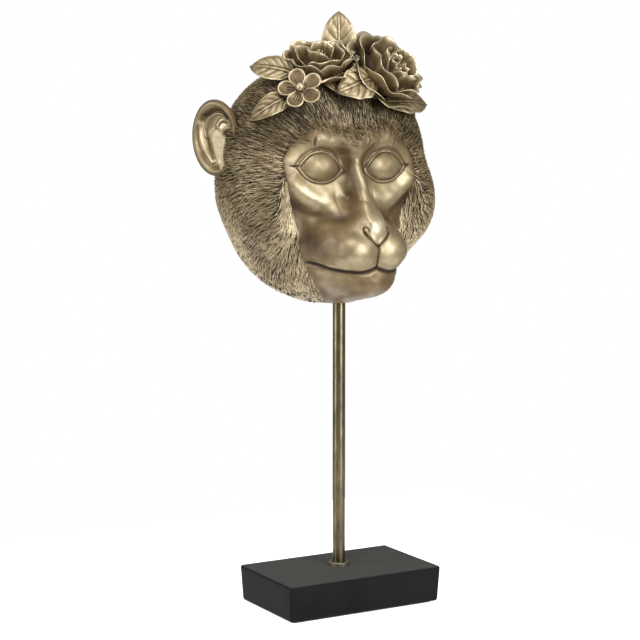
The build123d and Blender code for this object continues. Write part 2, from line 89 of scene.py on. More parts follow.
# Head size and level, from the frame, in millimetres
HEAD_LOW, HEAD_HIGH = (np.array(corner) * 1000 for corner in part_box("head_shell"))
UNIT = np.array([
    HEAD_HIGH[0] / WIDEST_SHARE,
    HEAD_HIGH[1] / BACK_SHARE,
    (HEAD_HIGH[2] - HEAD_LOW[2]) / UNIT_HEIGHT_SHARE,
])
EYE_LEVEL = HEAD_LOW[2] - CHIN_SHARE * UNIT[2]
FACE_MM = UNIT[0] / 70      # the face's drawing is in millimetres for a head 140 wide
BACK_PLANE = BACK_SHARE * UNIT[1]
HEAD_WALL = 6.0

# Skin grid: where its lines lie closer, across and up the face, and thirds of its line counts
ACROSS_PLACES = (-1, -0.56, -0.46, -0.09, 0, 0.09, 0.46, 0.56, 1)
ACROSS_SPACINGS = (2.9, 2.6, 1, 1, 0.8, 1, 1, 2.6, 2.9)
UPWARD_PLACES = (-1, -0.62, -0.52, -0.03, 0.36, 0.48, 1)
UPWARD_SPACINGS = (2.9, 2.6, 0.95, 1, 1, 2.6, 2.9)
ACROSS_THIRDS = 97
UPWARD_THIRDS = 93
EASING_ROUNDS = 160

# Face drawing, seen from the front, millimetres from the middle line and from eye level
EYE_MIDDLE = 23.0
EYE_HALF_WIDTH = 13.8
EYE_RISE = 10.0
EYE_DROP = 7.4
EYE_TILT = 0.9
EYE_ROUND = 2.1
FACE_TOP = ((0, 16.3), (12.4, 20.4), (25, 23.5), (34, 19.5), (42, 12.5), (46, 6), (52, -30))
FACE_SIDE = (
    (-84, 15), (-76, 23), (-71, 28), (-63, 32), (-57, 34.5), (-48, 36), (-36, 37.5), (-25, 40), (-18, 43),
    (-12, 45), (-1.4, 47), (6, 47), (30, 47),
)
MOUTH = ((0, -60.2), (6, -62.6), (13, -63.3), (23.5, -61.6), (32.4, -57.6))
PHILTRUM = ((0, -46.5), (0, -53), (0, -60.2))
NOSTRIL = ((8.4, -38.8), (7.6, -40.2), (5.4, -42.4), (2.4, -45.2), (0, -47.2))
NOSTRIL_HOOK = ((6.1, -38.0), (6.2, -36.0), (7.8, -35.4), (8.9, -36.8), (8.4, -38.8))
BROW_CREASE = ((28.2, 13.4), (28.6, 15.5), (28.2, 18.0))
OUTER_CREASE = ((36.5, 1.2), (39.5, 0.8), (43, 1.6))
EYE_BAG = ((43, -5), (38, -12), (31, -17.5), (23, -20.5), (14, -21))
BAG_HOLLOW = ((45, -15), (38.5, -22.5), (29, -28.5), (17, -30.5), (9.5, -27), (6.5, -18), (5.5, -6))
INNER_HOLLOW = ((5.5, -14), (5.0, -4), (5.5, 5), (9, 11), (14, 14))
LOWER_BRIDGE = ((4, -20), (6, -27), (8, -33))
NOSE_RIDGE = ((0, 2), (0, -6), (0, -13))
PAINTED_LIGHT_PLACES = (
    # middle, height, reach, patina: painted shade where above 0, painted highlight where below 0
    (16, -34, 8, 0.16),      # below the bag
    (0, -35, 8, -0.24),      # nose tip
    (11, -50, 9, -0.12),     # upper lip
    (28, -44, 9, 0.18),      # muzzle's side
    (10, -75, 14, 0.22),     # chin
)
BROAD_FORMS = (
    # path, height, half width, patina: painted shade where above 0, painted highlight where below 0
    (EYE_BAG, 2.6, 5.2, -0.16),
    (BAG_HOLLOW, -1.5, 3.2, 0.30),
    (INNER_HOLLOW, -0.6, 2.8, 0.30),
    (LOWER_BRIDGE, 1.1, 4.5, 0.08),
    (NOSE_RIDGE, 0.5, 2.0, -0.15),
    (((45, -15), (36, -27), (32.5, -38), (31.5, -50), (28, -60)), -1.1, 4.2, 0.2),
)

# Fur
LOCK_SPACING = 1.45
LOCK_LENGTH = 6.4
LOCK_WIDTH = 0.36
LOCK_HEIGHT = 0.9
LOCK_WAVE = 0.22
LOCK_WAVELENGTH = 3.9
LOCK_POINTS = 6
LOCK_TRIES = 520000
LOCK_GROUPS = 5
LOCK_FOOT_DEPTH = 0.62
LOCK_CREST_DROP = 0.42
FUR_SINK = 0.45
BARE_RIM = 1.6

# Ears
EAR_WIDTH = 33.0
EAR_HEIGHT = 47.0
EAR_DEPTH = 9.0
EAR_FACING = 59.0
EAR_LEAN = 4.0
EAR_ROOT_SHARES = (0.907, 0.20, 0.257)
EAR_LINES = 141

# Ear drawing, in its own plane: millimetres outwards and up from its middle
EAR_RIDGE = ((10.6, 8.9), (11.5, 2.0), (11.1, -1.8), (10.0, -5.6), (7.5, -10.2), (4.0, -14.8))
EAR_INNER_RIDGE = ((8.6, 1.0), (9.0, 6.0), (6.3, 11.9), (2.1, 14.4), (-1.3, 15.0), (-5.1, 14.1), (-7.6, 11.8))
EAR_INNER_LINE = ((8.3, 6.0), (8.0, -1.6), (6.3, -7.6), (3.9, -12.6))
EAR_TOP_GROOVE = ((7.5, 14.2), (0.3, 16.9), (-5.9, 15.6), (-10.6, 11.2), (-12.6, 6.6))
EAR_CURL = ((-2.3, 6.6), (-3.1, 8.9), (-5.6, 9.8), (-8.6, 8.4))
EAR_FOLD = ((0.4, 7.4), (-1.4, 9.8), (-4.0, 11.4), (-7.4, 11.4))
EAR_MOUND = ((-0.8, -0.8), (-1.6, -7.0), (-2.3, -13.4), (-4.6, -17.6))

# Crown: angles of the place on the head, lift over the diameter, angles of the way that it opens
ROSE_LARGE_DIAMETER = 56.0
ROSE_SMALL_DIAMETER = 46.0
BLOSSOM_DIAMETER = 26.0
ROSE_CORE_SHARES = (0.26, 0.32)
CALYX_SHARES = (0.27, 0.54)
CALYX_DROP_SHARE = 0.25
BUD_RISE_SHARE = 0.42
BUD_TURNS = 1.8
HEART_LINES = (15, 32)
BUD_LINES = (9, 70)
PETAL_LINES = (26, 37)
PETAL_START = 0.12
PETAL_THICKNESS = 1.5
LEAF_LENGTH = 28.0
LEAF_WIDTH = 15.0
LEAF_LINES = (71, 57)
LEAF_THICKNESS = 1.5
ROSE_LARGE_PLACE = (50, 64, -0.02, 24, 34)
ROSE_SMALL_PLACE = (-35, 71, -0.06, -25, 56)
BLOSSOM_PLACE = (-51, 54.5, 0.20, -36, 30)
BLOSSOM_SHIFT = (-2.8, 0, 2.4)
BLOSSOM_GROWTH = 1.06
BLOSSOM_LINES = 53
LEAF_SHARES = {
    # length, width, angles of root and tip on the head, lift of each over the width, turn forwards
    "leaf_left_high": (1.1, 1.1, (-58, 61), (-85, 53), 0.25, 0.55, 1.6),
    "leaf_left_low": (1.05, 1.0, (-55, 51), (-72, 33), 0.15, 0.35, 0),
    "leaf_front": (1.1, 1.35, (36, 63), (-9, 61.5), 0.35, 0.35, 0.6),
    "leaf_right": (1.42, 1.15, (38, 52), (76, 35), 0.25, 0.85, 0.4),
    "leaf_under_rose": (1.0, 1.1, (-35, 65), (5, 63), 0.20, 0.20, 0),
}
TOP_LEAF_SHARES = (1.39, 1.5, (10, 75.5), -0.38, -30)
LEAF_FITS = {
    # turn and stretch in the leaf's own plane, lift in millimetres, patina shift: painted light where below 0
    "leaf_front": (((1, 0), (0, 1.12)), 3.0, -0.1),
    "leaf_left_high": (((0.92, -0.14), (0.16, 1.12)), 0, -0.06),
}
LEAF_OUTLINE_SHARES = ((0, 0), (0.05, 0.17), (0.14, 0.31), (0.45, 0.50), (0.70, 0.43), (0.88, 0.23), (1, 0))
TOP_OUTLINE_SHARES = (
    (0, 0), (0.06, 0.10), (0.22, 0.24), (0.45, 0.43), (0.64, 0.50), (0.84, 0.34), (0.95, 0.15), (1, 0),
)
FOLD_SHARE = 0.22
BEND_SHARE = 1.6
ROOT_DEPTH = 2.5

# Block and felt, and the boss in the chin: radii and heights from the washer
BLOCK_ROUNDING = 1.8
BLOCK_TAPER = 1.3
FELT_CORNER = 2.0
FELT_POINTS = 360
BOSS_PROFILE = ((3.2, 0), (11.6, 0), (12, -0.4), (12, -12), (4.1, -12), (4.1, -8), (3.2, -8))

# Colours by patina and painted light, from rubbed heights to recesses
GOLD_STOPS = ((0.0, "#cabc9b"), (0.22, "#998964"), (0.45, "#6a5532"), (0.75, "#3d2d18"), (1.0, "#21160a"))
FUR_STOPS = ((0.0, "#ddceab"), (0.25, "#ad9b75"), (0.5, "#6d5a37"), (0.8, "#2c2013"), (1.0, "#150e06"))

# Studio, in metres and watts
FLOOR_HALF = 0.27
LAMPS = (
    # name, place, aim, width, height, power
    ("key", (0.40, -1.80, 0.75), (0, 0, 0.40), 0.55, 1.9, 37),
    ("left", (-1.75, 0.2, 0.6), (0, 0, 0.30), 0.5, 1.6, 18),
    ("top", (-0.7, -0.8, 2.0), (0, 0, 0.3), 0.9, 0.9, 26),
)


def linear(code):
    """A colour written as sRGB hex, as the linear values that a shader takes."""
    parts = np.array([int(code[place:place + 2], 16) for place in (1, 3, 5)]) / 255
    bright = np.where(parts <= 0.04045, parts / 12.92, ((parts + 0.055) / 1.055) ** 2.4)
    return (*map(float, bright), 1.0)


def box_corners(node):
    """A node's two box corners in millimetres."""
    return [np.array(corner) * 1000 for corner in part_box(node)]


def set_inputs(tree, node, inputs):
    """Links each of a node's inputs to another node's output, or sets it to a value."""
    for name, value in inputs.items():
        if isinstance(value, bpy.types.NodeSocket):
            tree.links.new(value, node.inputs[name])
        else:
            node.inputs[name].default_value = value


def add_node(tree, kind, inputs=None, **settings):
    """Adds a node, sets what it is given, and links or sets its inputs."""
    node = tree.nodes.new(kind)
    for name, value in settings.items():
        setattr(node, name, value)
    set_inputs(tree, node, inputs or {})
    return node


def new_material(name):
    """An empty material, its tree and shader, and the place on the object that its patterns follow."""
    material = bpy.data.materials.new(name)
    material.use_nodes = True
    tree = material.node_tree
    tree.nodes.clear()
    shader = add_node(tree, "ShaderNodeBsdfPrincipled")
    add_node(tree, "ShaderNodeOutputMaterial", {"Surface": shader.outputs[0]})
    return material, tree, shader, add_node(tree, "ShaderNodeTexCoord").outputs["Object"]


def colour_ramp(tree, factor, stops):
    """Colours along a factor, from pairs of place and hex colour."""
    ramp = add_node(tree, "ShaderNodeValToRGB", {"Fac": factor})
    elements = ramp.color_ramp.elements
    while len(elements) < len(stops):
        elements.new(0.5)
    for element, (place, code) in zip(elements, stops):
        element.position = place
        element.color = linear(code)
    return ramp.outputs["Color"]


def noise(tree, place, size, detail, roughness=0.5, distortion=0.0):
    """A cloudy pattern from 0 to 1, its largest patches about this many metres across."""
    return add_node(tree, "ShaderNodeTexNoise", {
        "Vector": place, "Scale": 1 / size, "Detail": detail,
        "Roughness": roughness, "Distortion": distortion,
    }).outputs["Fac"]


def spread(tree, value, low, high, start=0.0, end=1.0):
    """A value's range from start to end, as one from low to high."""
    return add_node(tree, "ShaderNodeMapRange", {
        "Value": value, "From Min": start, "From Max": end, "To Min": low, "To Max": high,
    }).outputs[0]


def combined(tree, operation, *values):
    """Values put together by one sum."""
    return add_node(tree, "ShaderNodeMath", dict(enumerate(values)), operation=operation).outputs[0]


def bumped(tree, height, strength, distance):
    """Normals that a height pattern tilts."""
    inputs = {"Height": height, "Strength": strength, "Distance": distance}
    return add_node(tree, "ShaderNodeBump", inputs).outputs[0]


def gold_paint(name, stops, roughness, grain):
    """Satin gold paint rubbed over a dark umber patina on cast resin, under a thin clear lacquer.

    The patina attribute is 0 on raised gold and 1 in the recesses, whose dark patina is deepened by
    painted shade; over broad forms of the face, on the fur, the petals and some leaves it also carries
    painted highlights and painted shade. The stain attribute is 1 in the dark wash of the mouth.
    Blotches 9 mm wide and less shift the patina, a fine grain roughens the coat, and the recesses are
    duller than the rubbed heights.
    """
    material, tree, shader, place = new_material(name)
    patina, stain = (
        add_node(tree, "ShaderNodeAttribute", attribute_name=key).outputs["Fac"]
        for key in ("patina", "stain")
    )
    blotches = combined(tree, "ADD", noise(tree, place, 0.009, 5.0, 0.62), -0.5)
    shifted = combined(tree, "MULTIPLY_ADD", blotches, 0.42, patina)
    washed = add_node(tree, "ShaderNodeMix", {
        "Factor": stain, "A": colour_ramp(tree, shifted, stops), "B": linear("#2e201c"),
    }, data_type="RGBA")
    fine = noise(tree, place, 0.0011, 3.0, 0.6)
    dull = spread(tree, shifted, roughness, 0.72, -0.1)
    set_inputs(tree, shader, {
        "Base Color": washed.outputs["Result"],
        "Roughness": combined(tree, "MULTIPLY_ADD", fine, 0.14, dull),
        "Metallic": spread(tree, shifted, 0.75, 0.3, 0.2),
        "Coat Weight": spread(tree, shifted, 0.8, 0.05, 0.25, 0.8),
        "Coat Roughness": 0.38, "Coat IOR": 1.6,
        "Normal": bumped(tree, fine, grain, 0.0002),
    })
    return material


def rod_metal():
    """Satin gold paint on the steel rod, mottled by handling, duller and browner near its foot."""
    material, tree, shader, place = new_material("satin_gold_painted_rod")
    stretched = add_node(tree, "ShaderNodeMapping", {"Vector": place, "Scale": (1, 1, 0.35)}).outputs[0]
    height = add_node(tree, "ShaderNodeSeparateXYZ", {"Vector": place}).outputs["Z"]
    foot = spread(tree, height, 0.18, 0.0, 0.05, 0.16)
    worn = combined(tree, "SUBTRACT", noise(tree, stretched, 0.006, 4.0, 0.6), foot)
    set_inputs(tree, shader, {
        "Base Color": colour_ramp(tree, worn, ((0.2, "#463d2c"), (0.42, "#675c44"), (0.7, "#8f836a"))),
        "Roughness": spread(tree, worn, 0.42, 0.24),
        "Metallic": 1.0, "Coat Weight": 0.35, "Coat Roughness": 0.28,
    })
    return material


def collar_metal():
    """Dark bronze paint on the steel collar, worn bright in patches."""
    material, tree, shader, place = new_material("worn_bronze_painted_collar")
    worn = noise(tree, place, 0.003, 4.0)
    colour = colour_ramp(tree, worn, ((0.3, "#4a453c"), (0.6, "#8a8272"), (0.8, "#c9c1ae")))
    set_inputs(tree, shader, {"Base Color": colour, "Metallic": 0.9, "Roughness": 0.42})
    return material


def fastener_steel():
    """Zinc-plated steel washers, screw and nut, turned, with fine rings that blur the shine."""
    material, tree, shader, place = new_material("zinc_plated_steel")
    rings = add_node(tree, "ShaderNodeTexWave", {
        "Vector": place, "Scale": 1 / 0.0012, "Distortion": 0.4,
    }, wave_type="RINGS", rings_direction="Z").outputs["Fac"]
    colour = colour_ramp(tree, rings, ((0.0, "#8b8d90"), (1.0, "#b4b6b8")))
    set_inputs(tree, shader, {"Base Color": colour, "Metallic": 1.0, "Roughness": 0.36})
    return material


def black_block_paint():
    """Fibreboard block sprayed satin black: a faint orange peel, paler handled patches, painted light on top.
    """
    material, tree, shader, place = new_material("satin_black_sprayed_board")
    clouds = noise(tree, place, 0.03, 5.0)
    # Painted light: faces that look upwards are mixed towards a paler grey.
    upward = add_node(tree, "ShaderNodeTexCoord").outputs["Normal"]
    upward = add_node(tree, "ShaderNodeSeparateXYZ", {"Vector": upward}).outputs["Z"]
    coloured = add_node(tree, "ShaderNodeMix", {
        "Factor": spread(tree, upward, 0.0, 0.8, 0.5), "B": linear("#4a4a48"),
        "A": colour_ramp(tree, clouds, ((0.3, "#0e0f10"), (0.7, "#171819"))),
    }, data_type="RGBA")
    set_inputs(tree, shader, {
        "Base Color": coloured.outputs["Result"],
        "Roughness": spread(tree, clouds, 0.42, 0.6),
        "Specular IOR Level": 0.04,
        "Normal": bumped(tree, noise(tree, place, 0.0012, 2.0), 0.12, 0.0001),
    })
    return material


def felt_cloth():
    """Black needled wool felt: matted tufts 0.6 mm across and less, with a soft sheen."""
    material, tree, shader, place = new_material("needled_wool_felt")
    fibres = noise(tree, place, 0.0006, 6.0, distortion=1.5)
    set_inputs(tree, shader, {
        "Base Color": colour_ramp(tree, fibres, ((0.3, "#0f0f10"), (0.7, "#2c2c2e"))),
        "Normal": bumped(tree, fibres, 0.6, 0.0003),
        "Roughness": 0.95, "Sheen Weight": 0.3,
    })
    return material


def grid_faces(rows, columns, wrap=False):
    """Four-cornered faces between neighbouring points of a grid stored row by row."""
    across = np.arange(columns if wrap else columns - 1)
    beside = (across + 1) % columns
    start = np.arange(rows - 1)[:, None] * columns
    corners = (start + across, start + beside, start + columns + beside, start + columns + across)
    return np.stack(corners, -1).reshape(-1, 4)


def rim_loop(rows, columns):
    """Indices of a grid's outer points, in order round it."""
    index = np.arange(rows * columns).reshape(rows, columns)
    return np.concatenate((index[0, :-1], index[:-1, -1], index[-1, :0:-1], index[:0:-1, 0]))


def disc(u, v):
    """A square grid pressed into a disc."""
    return u * np.sqrt(1 - v ** 2 / 2), v * np.sqrt(1 - u ** 2 / 2)


def slab(front, back):
    """A closed plate: two grids of points, one each side, joined by a strip of faces round their rims."""
    rows, columns = front.shape[:2]
    count = rows * columns
    faces = grid_faces(rows, columns)
    loop = rim_loop(rows, columns)
    after = np.roll(loop, -1)
    side = np.stack((loop, loop + count, after + count, after), -1)
    points = np.concatenate((front.reshape(-1, 3), back.reshape(-1, 3)))
    return points, np.concatenate((faces, faces[:, ::-1] + count, side))


def two_sided(front, back):
    """Patina of a plate's points: the front's values, then the back's."""
    return np.concatenate((front.ravel(), np.broadcast_to(back, front.shape).ravel()))


def unit(vectors):
    """Vectors brought to a length of 1."""
    return vectors / np.maximum(np.linalg.norm(vectors, axis=-1, keepdims=True), 1e-9)


def grid_normals(points):
    """Unit normals of a grid of points, from the slopes along its rows and columns."""
    along_columns = np.gradient(points, axis=1)
    along_rows = np.gradient(points, axis=0)
    return unit(np.cross(along_columns, along_rows))


def eased(points, share, rounds):
    """A grid of points, each drawn again and again towards the middle of its four neighbours."""
    for _ in range(rounds):
        middle = sum(np.roll(points, step, axis) for step in (-1, 1) for axis in (0, 1)) / 4
        points = points + share[..., None] * (middle - points)
    return points


def volume(points, faces):
    """Signed volume of a closed mesh of four-cornered faces."""
    a, b, c, d = (points[faces[:, corner]] for corner in range(4))
    return float(np.sum(a * np.cross(b, c)) + np.sum(a * np.cross(c, d))) / 6


def joined(parts):
    """Several closed meshes as one, each turned so that its faces look outwards."""
    all_points, all_faces, all_patina = [], [], []
    count = 0
    for points, faces, patina in parts:
        if volume(points - points.mean(0), faces) < 0:
            faces = faces[:, ::-1]
        all_points.append(points)
        all_faces.append(faces + count)
        all_patina.append(patina)
        count += len(points)
    return np.concatenate(all_points), np.concatenate(all_faces), np.concatenate(all_patina)


def piece(name, points, faces, material, node, attributes=None):
    """A mesh in metres from points in millimetres, riding on the part and standing for its node."""
    mesh = bpy.data.meshes.new(name)
    mesh.from_pydata((points / 1000).tolist(), [], faces if isinstance(faces, list) else faces.tolist())
    for key, values in (attributes or {}).items():
        mesh.attributes.new(key, "FLOAT", "POINT").data.foreach_set("value", values.astype(np.float32))
    mesh.polygons.foreach_set("use_smooth", np.ones(len(mesh.polygons), bool))
    mesh.materials.append(material)
    mesh.validate()
    thing = bpy.data.objects.new(name, mesh)
    bpy.context.collection.objects.link(thing)
    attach(thing, "root")
    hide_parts(node)


def blend(a, b, reach):
    """Smooth minimum of two fields."""
    h = np.clip(0.5 + 0.5 * (b - a) / reach, 0, 1)
    return b + (a - b) * h - reach * h * (1 - h)


def ellipsoid(points, centre, radii):
    """Approximate distance to an ellipsoid: its level less 1, over the level's slope."""
    q = (points - np.array(centre)) / np.array(radii)
    level = np.linalg.norm(q, axis=-1)
    return level * (level - 1) / np.maximum(np.linalg.norm(q / np.array(radii), axis=-1), 1e-9)


def ridge(points, start, end, start_radius, end_radius):
    """Distance to a tapered rod with round ends."""
    run = np.array(end) - np.array(start)
    away = points - np.array(start)
    along = np.clip(away @ run / (run @ run), 0, 1)
    radius = start_radius + (end_radius - start_radius) * along
    return np.linalg.norm(away - along[..., None] * run, axis=-1) - radius


def scooped(level, points, form):
    """A field with an ellipsoid smoothly taken out of it."""
    centre, radii, reach = form
    return -blend(-level, ellipsoid(points, centre, radii), reach)


def skull(points):
    """Distance along the ray to a superellipsoid skull, flatter in front, that draws in under the jaw."""
    q = points - SKULL_CENTRE_SHARES
    distance = np.maximum(np.linalg.norm(q, axis=-1), 1e-9)
    x, y, z = np.moveaxis(q / distance[..., None], -1, 0)
    low = np.clip((-z - 0.1) / 0.45, 0, 1)
    low = low * low * (3 - 2 * low)
    front, rear, upper, lower = SKULL_ROUND_SHARES
    power = np.where(y < 0, front, rear)
    depth = np.where(y < 0, SKULL_FRONT_SHARE, SKULL_REAR_SHARE - JAW_REAR_LOSS_SHARE * low)
    level = (np.abs(x) ** power + (np.abs(y) / depth) ** power) ** (1 / power)
    rise = np.where(z > 0, upper, lower)
    radius = (level ** rise + (np.abs(z) / SKULL_HEIGHT_SHARE) ** rise) ** (-1 / rise)
    return 0.9 * (distance - radius)


def on_one_side(points):
    """The same points, all brought to one side of the middle."""
    return np.concatenate((np.abs(points[..., :1]), points[..., 1:]), -1)


def plain_field(points):
    """The head without its features: skull, cheek ruffs, jaw and muzzle blended together, and a hollow
    scooped under each cheekbone.
    """
    sided = on_one_side(points)
    level = skull(sided)
    for centre, radii, reach in SMOOTH_FORM_SHARES:
        level = blend(level, ellipsoid(sided, centre, radii), reach)
    return scooped(level, sided, CHEEK_HOLLOW_SHARES)


def furred_field(points):
    """The head with lips, chin, nose, cheekbones and brows blended on and the eye sockets scooped out."""
    sided = on_one_side(points)
    level = plain_field(points)
    for centre, radii, reach in FACE_FORM_SHARES:
        level = blend(level, ellipsoid(sided, centre, radii), reach)
    for start, end, start_radius, end_radius, reach in RIDGE_SHARES:
        level = blend(level, ridge(sided, start, end, start_radius, end_radius), reach)
    return scooped(level, sided, SOCKET_SHARES)


def head_field(points):
    """The furred field with a domed eye smoothly set in each socket."""
    dome = ellipsoid(on_one_side(points), EYE_CENTRE_SHARES, EYE_RADII_SHARES)
    return blend(furred_field(points), dome, 0.03)


def hollow_field(points):
    """The hollow: the plain head, a wall's thickness further in."""
    return plain_field(points) + HEAD_WALL / UNIT[0]


def cast_rays(field, directions, steps=22):
    """Points where rays from the skull's centre leave the field, found by halving."""
    near = np.zeros(directions.shape[:-1])
    far = near + 2
    for _ in range(steps):
        middle = (near + far) / 2
        inside = field(SKULL_CENTRE_SHARES + middle[..., None] * directions) < 0
        near = np.where(inside, middle, near)
        far = np.where(inside, far, middle)
    return SKULL_CENTRE_SHARES + near[..., None] * directions


def polar_directions(polar, turn):
    """Directions at a polar angle from straight forward, turned about that axis from the head's left."""
    return np.stack((np.sin(polar) * np.cos(turn), -np.cos(polar), np.sin(polar) * np.sin(turn)), -1)


def back_angles(field, turns):
    """The polar angle, for each turn, at which the surface meets the flat back, found by halving."""
    near = np.full(turns.shape, math.radians(70))
    far = np.full(turns.shape, math.radians(150))
    for _ in range(20):
        middle = (near + far) / 2
        ahead = cast_rays(field, polar_directions(middle, turns))[..., 1] < BACK_SHARE
        near = np.where(ahead, middle, near)
        far = np.where(ahead, far, middle)
    return near


def uneven_lines(places, spacings, count):
    """Lines from -1 to 1 whose spacing follows the spacings given at some places."""
    fine = np.linspace(-1, 1, 4001)
    total = np.cumsum(1 / np.interp(fine, places, spacings))
    return np.interp(np.linspace(total[0], total[-1], count), total, fine)


def skin(field, across, upward):
    """A head skin in head units: a square grid pressed into a disc, its radius the share of the way from
    straight forward to the flat back, and each point cast out from the skull's centre.
    """
    u, v = np.meshgrid(across, upward)
    flat_x, flat_z = disc(u, v)
    turn = np.arctan2(flat_z, flat_x)
    turns = np.linspace(-math.pi, math.pi, 361)
    polar = np.hypot(flat_x, flat_z) * np.interp(turn, turns, back_angles(field, turns))
    points = cast_rays(field, polar_directions(polar, turn))
    loop = rim_loop(*points.shape[:2])
    points.reshape(-1, 3)[loop, 1] = BACK_SHARE
    return points


def bell(distance, width):
    """1 at no distance, falling as a bell over the width."""
    return np.exp(-(distance / width) ** 2)


def smooth_step(value):
    """0 below 0, 1 above 1, and smooth between."""
    value = np.clip(value, 0, 1)
    return value * value * (3 - 2 * value)


def rounded_path(path):
    """A path with its corners cut three times, its ends kept."""
    points = np.array(path, float)
    for _ in range(3):
        cut = np.stack((points[:-1] * 0.75 + points[1:] * 0.25, points[:-1] * 0.25 + points[1:] * 0.75), 1)
        points = np.concatenate((points[:1], cut.reshape(-1, 2), points[-1:]))
    return points


def path_distance(a, z, path):
    """Distance from each point of the face to a path, and how far along the path its nearest point is."""
    points = rounded_path(path)
    best = np.full(a.shape, 1e9)
    along = np.zeros(a.shape)
    last = len(points) - 1
    for index in range(last):
        start, run = points[index], points[index + 1] - points[index]
        share = np.clip(((a - start[0]) * run[0] + (z - start[1]) * run[1]) / (run @ run), 0, 1)
        away = np.hypot(a - start[0] - share * run[0], z - start[1] - share * run[1])
        along = np.where(away < best, (index + share) / last, along)
        best = np.minimum(best, away)
    return best, along


def eye_gap(a, z):
    """How far a point is outside the eye's opening, whose two lids are arcs that meet in points, and how
    high it is above the line between them: each arc's height falls as a power of the way across.
    """
    across = np.abs((a - EYE_MIDDLE) / EYE_HALF_WIDTH)
    rise = z + EYE_TILT * (1 - (a - EYE_MIDDLE) / EYE_HALF_WIDTH)
    half = np.where(rise > 0, EYE_RISE, EYE_DROP)
    arc = half * (1 - across ** EYE_ROUND)
    slope = half * EYE_ROUND * np.maximum(across, 1e-6) ** (EYE_ROUND - 1) / EYE_HALF_WIDTH
    return (np.abs(rise) - arc) / np.hypot(1, slope), rise


def face_inset(a, z):
    """How far a point is inside the bare face's edge, seen from the front; negative in the fur."""
    top = np.interp(a, *zip(*FACE_TOP)) - z
    side = np.interp(z, *zip(*FACE_SIDE)) - a
    return np.minimum(top, side)


def face_relief(a, x, z):
    """Height of the modelled features over the head's plain surface, in millimetres, how dark the
    patina and painted shade are in the recesses, with painted highlights and painted shade over broad
    forms and at some places, and the mouth's stain. Each feature is a bell across its distance from a drawn
    path.
    """
    gap, rise = eye_gap(a, z)
    upper = smooth_step(rise / 2.4 + 0.5) * smooth_step((a - 8.6) / 2)
    lid = smooth_step(gap / 0.45 + 0.4)
    height = lid * (1.2 * bell(np.maximum(gap - 0.55, 0), 1.15))
    height += upper * (0.4 * bell(gap - 2.1, 0.42) - 0.45 * bell(gap - 1.42, 0.3))
    height -= 0.35 * bell(gap + 0.4, 0.35)
    face_patina_and_painted_light = 0.55 * bell(gap + 0.05, 0.3) + upper * 0.5 * bell(gap - 1.45, 0.28)
    face_patina_and_painted_light += (1 - upper) * 0.35 * bell(gap - 1.9, 0.5) + upper * 0.3 * bell(gap - 3.0, 0.7)
    face_patina_and_painted_light -= 0.16 * bell(gap - 0.75, 0.45) * lid

    for path, deep, wide in (
        (OUTER_CREASE, 0.35, 0.5), (BROW_CREASE, 0.45, 0.6),
    ):
        away, along = path_distance(a, z, path)
        ends = np.sin(math.pi * np.clip(along, 0.04, 0.96)) ** 0.5
        height += ends * (0.35 * bell(away - 1.9 * wide, 1.1 * wide) - deep * bell(away, wide))
        face_patina_and_painted_light += ends * 0.55 * bell(away, wide)

    away, along = path_distance(a, z, NOSTRIL)
    width = 0.68 - 0.2 * along
    height -= (1.5 - 0.5 * along) * bell(away, width)
    face_patina_and_painted_light += 0.85 * bell(away, width)
    away, _ = path_distance(a, z, NOSTRIL_HOOK)
    height += 0.35 * bell(away - 0.85, 0.45) - 0.7 * bell(away, 0.38)
    face_patina_and_painted_light += 0.7 * bell(away, 0.38)
    away, _ = path_distance(a, z, PHILTRUM)
    height -= 0.9 * bell(away, 0.55)
    face_patina_and_painted_light += 0.7 * bell(away, 0.42)

    away, along = path_distance(a, z, MOUTH)
    depth = 1 - 0.45 * along
    height += 0.5 * bell(away - 2.4, 1.3) * depth - 1.6 * depth * bell(away, 0.85)
    mouth = 0.8 * bell(away, 0.62) * (1 - 0.3 * along)
    face_patina_and_painted_light += 0.7 * bell(away, 0.8)

    # Broad forms of the face, each with a painted highlight or painted shade over it
    for path, rise, wide, shade in BROAD_FORMS:
        away, along = path_distance(a, z, path)
        form = bell(away, wide) * np.sin(math.pi * (0.06 + 0.88 * along))
        height += rise * form
        face_patina_and_painted_light += shade * form

    # Painted highlights and painted shade at the places listed
    for middle, low, reach, shade in PAINTED_LIGHT_PLACES:
        face_patina_and_painted_light += shade * bell(np.hypot(a - middle, z - low), reach)
    pores = np.cos(2.9 * x + 0.9 * z) * np.cos(2.6 * z - 0.7 * x)
    on_lip = bell(np.hypot(a - 10, z + 52), 6)
    height -= 0.12 * smooth_step((pores - 0.72) / 0.2) * on_lip
    face_patina_and_painted_light += 0.25 * smooth_step((pores - 0.72) / 0.2) * on_lip
    unevenness = np.sin(0.31 * x + 0.17 * z) * np.sin(0.23 * z - 0.11 * x)
    unevenness += 0.5 * np.sin(0.7 * x + 1.3) * np.sin(0.6 * z)
    height += 0.15 * unevenness
    return height, face_patina_and_painted_light, mouth


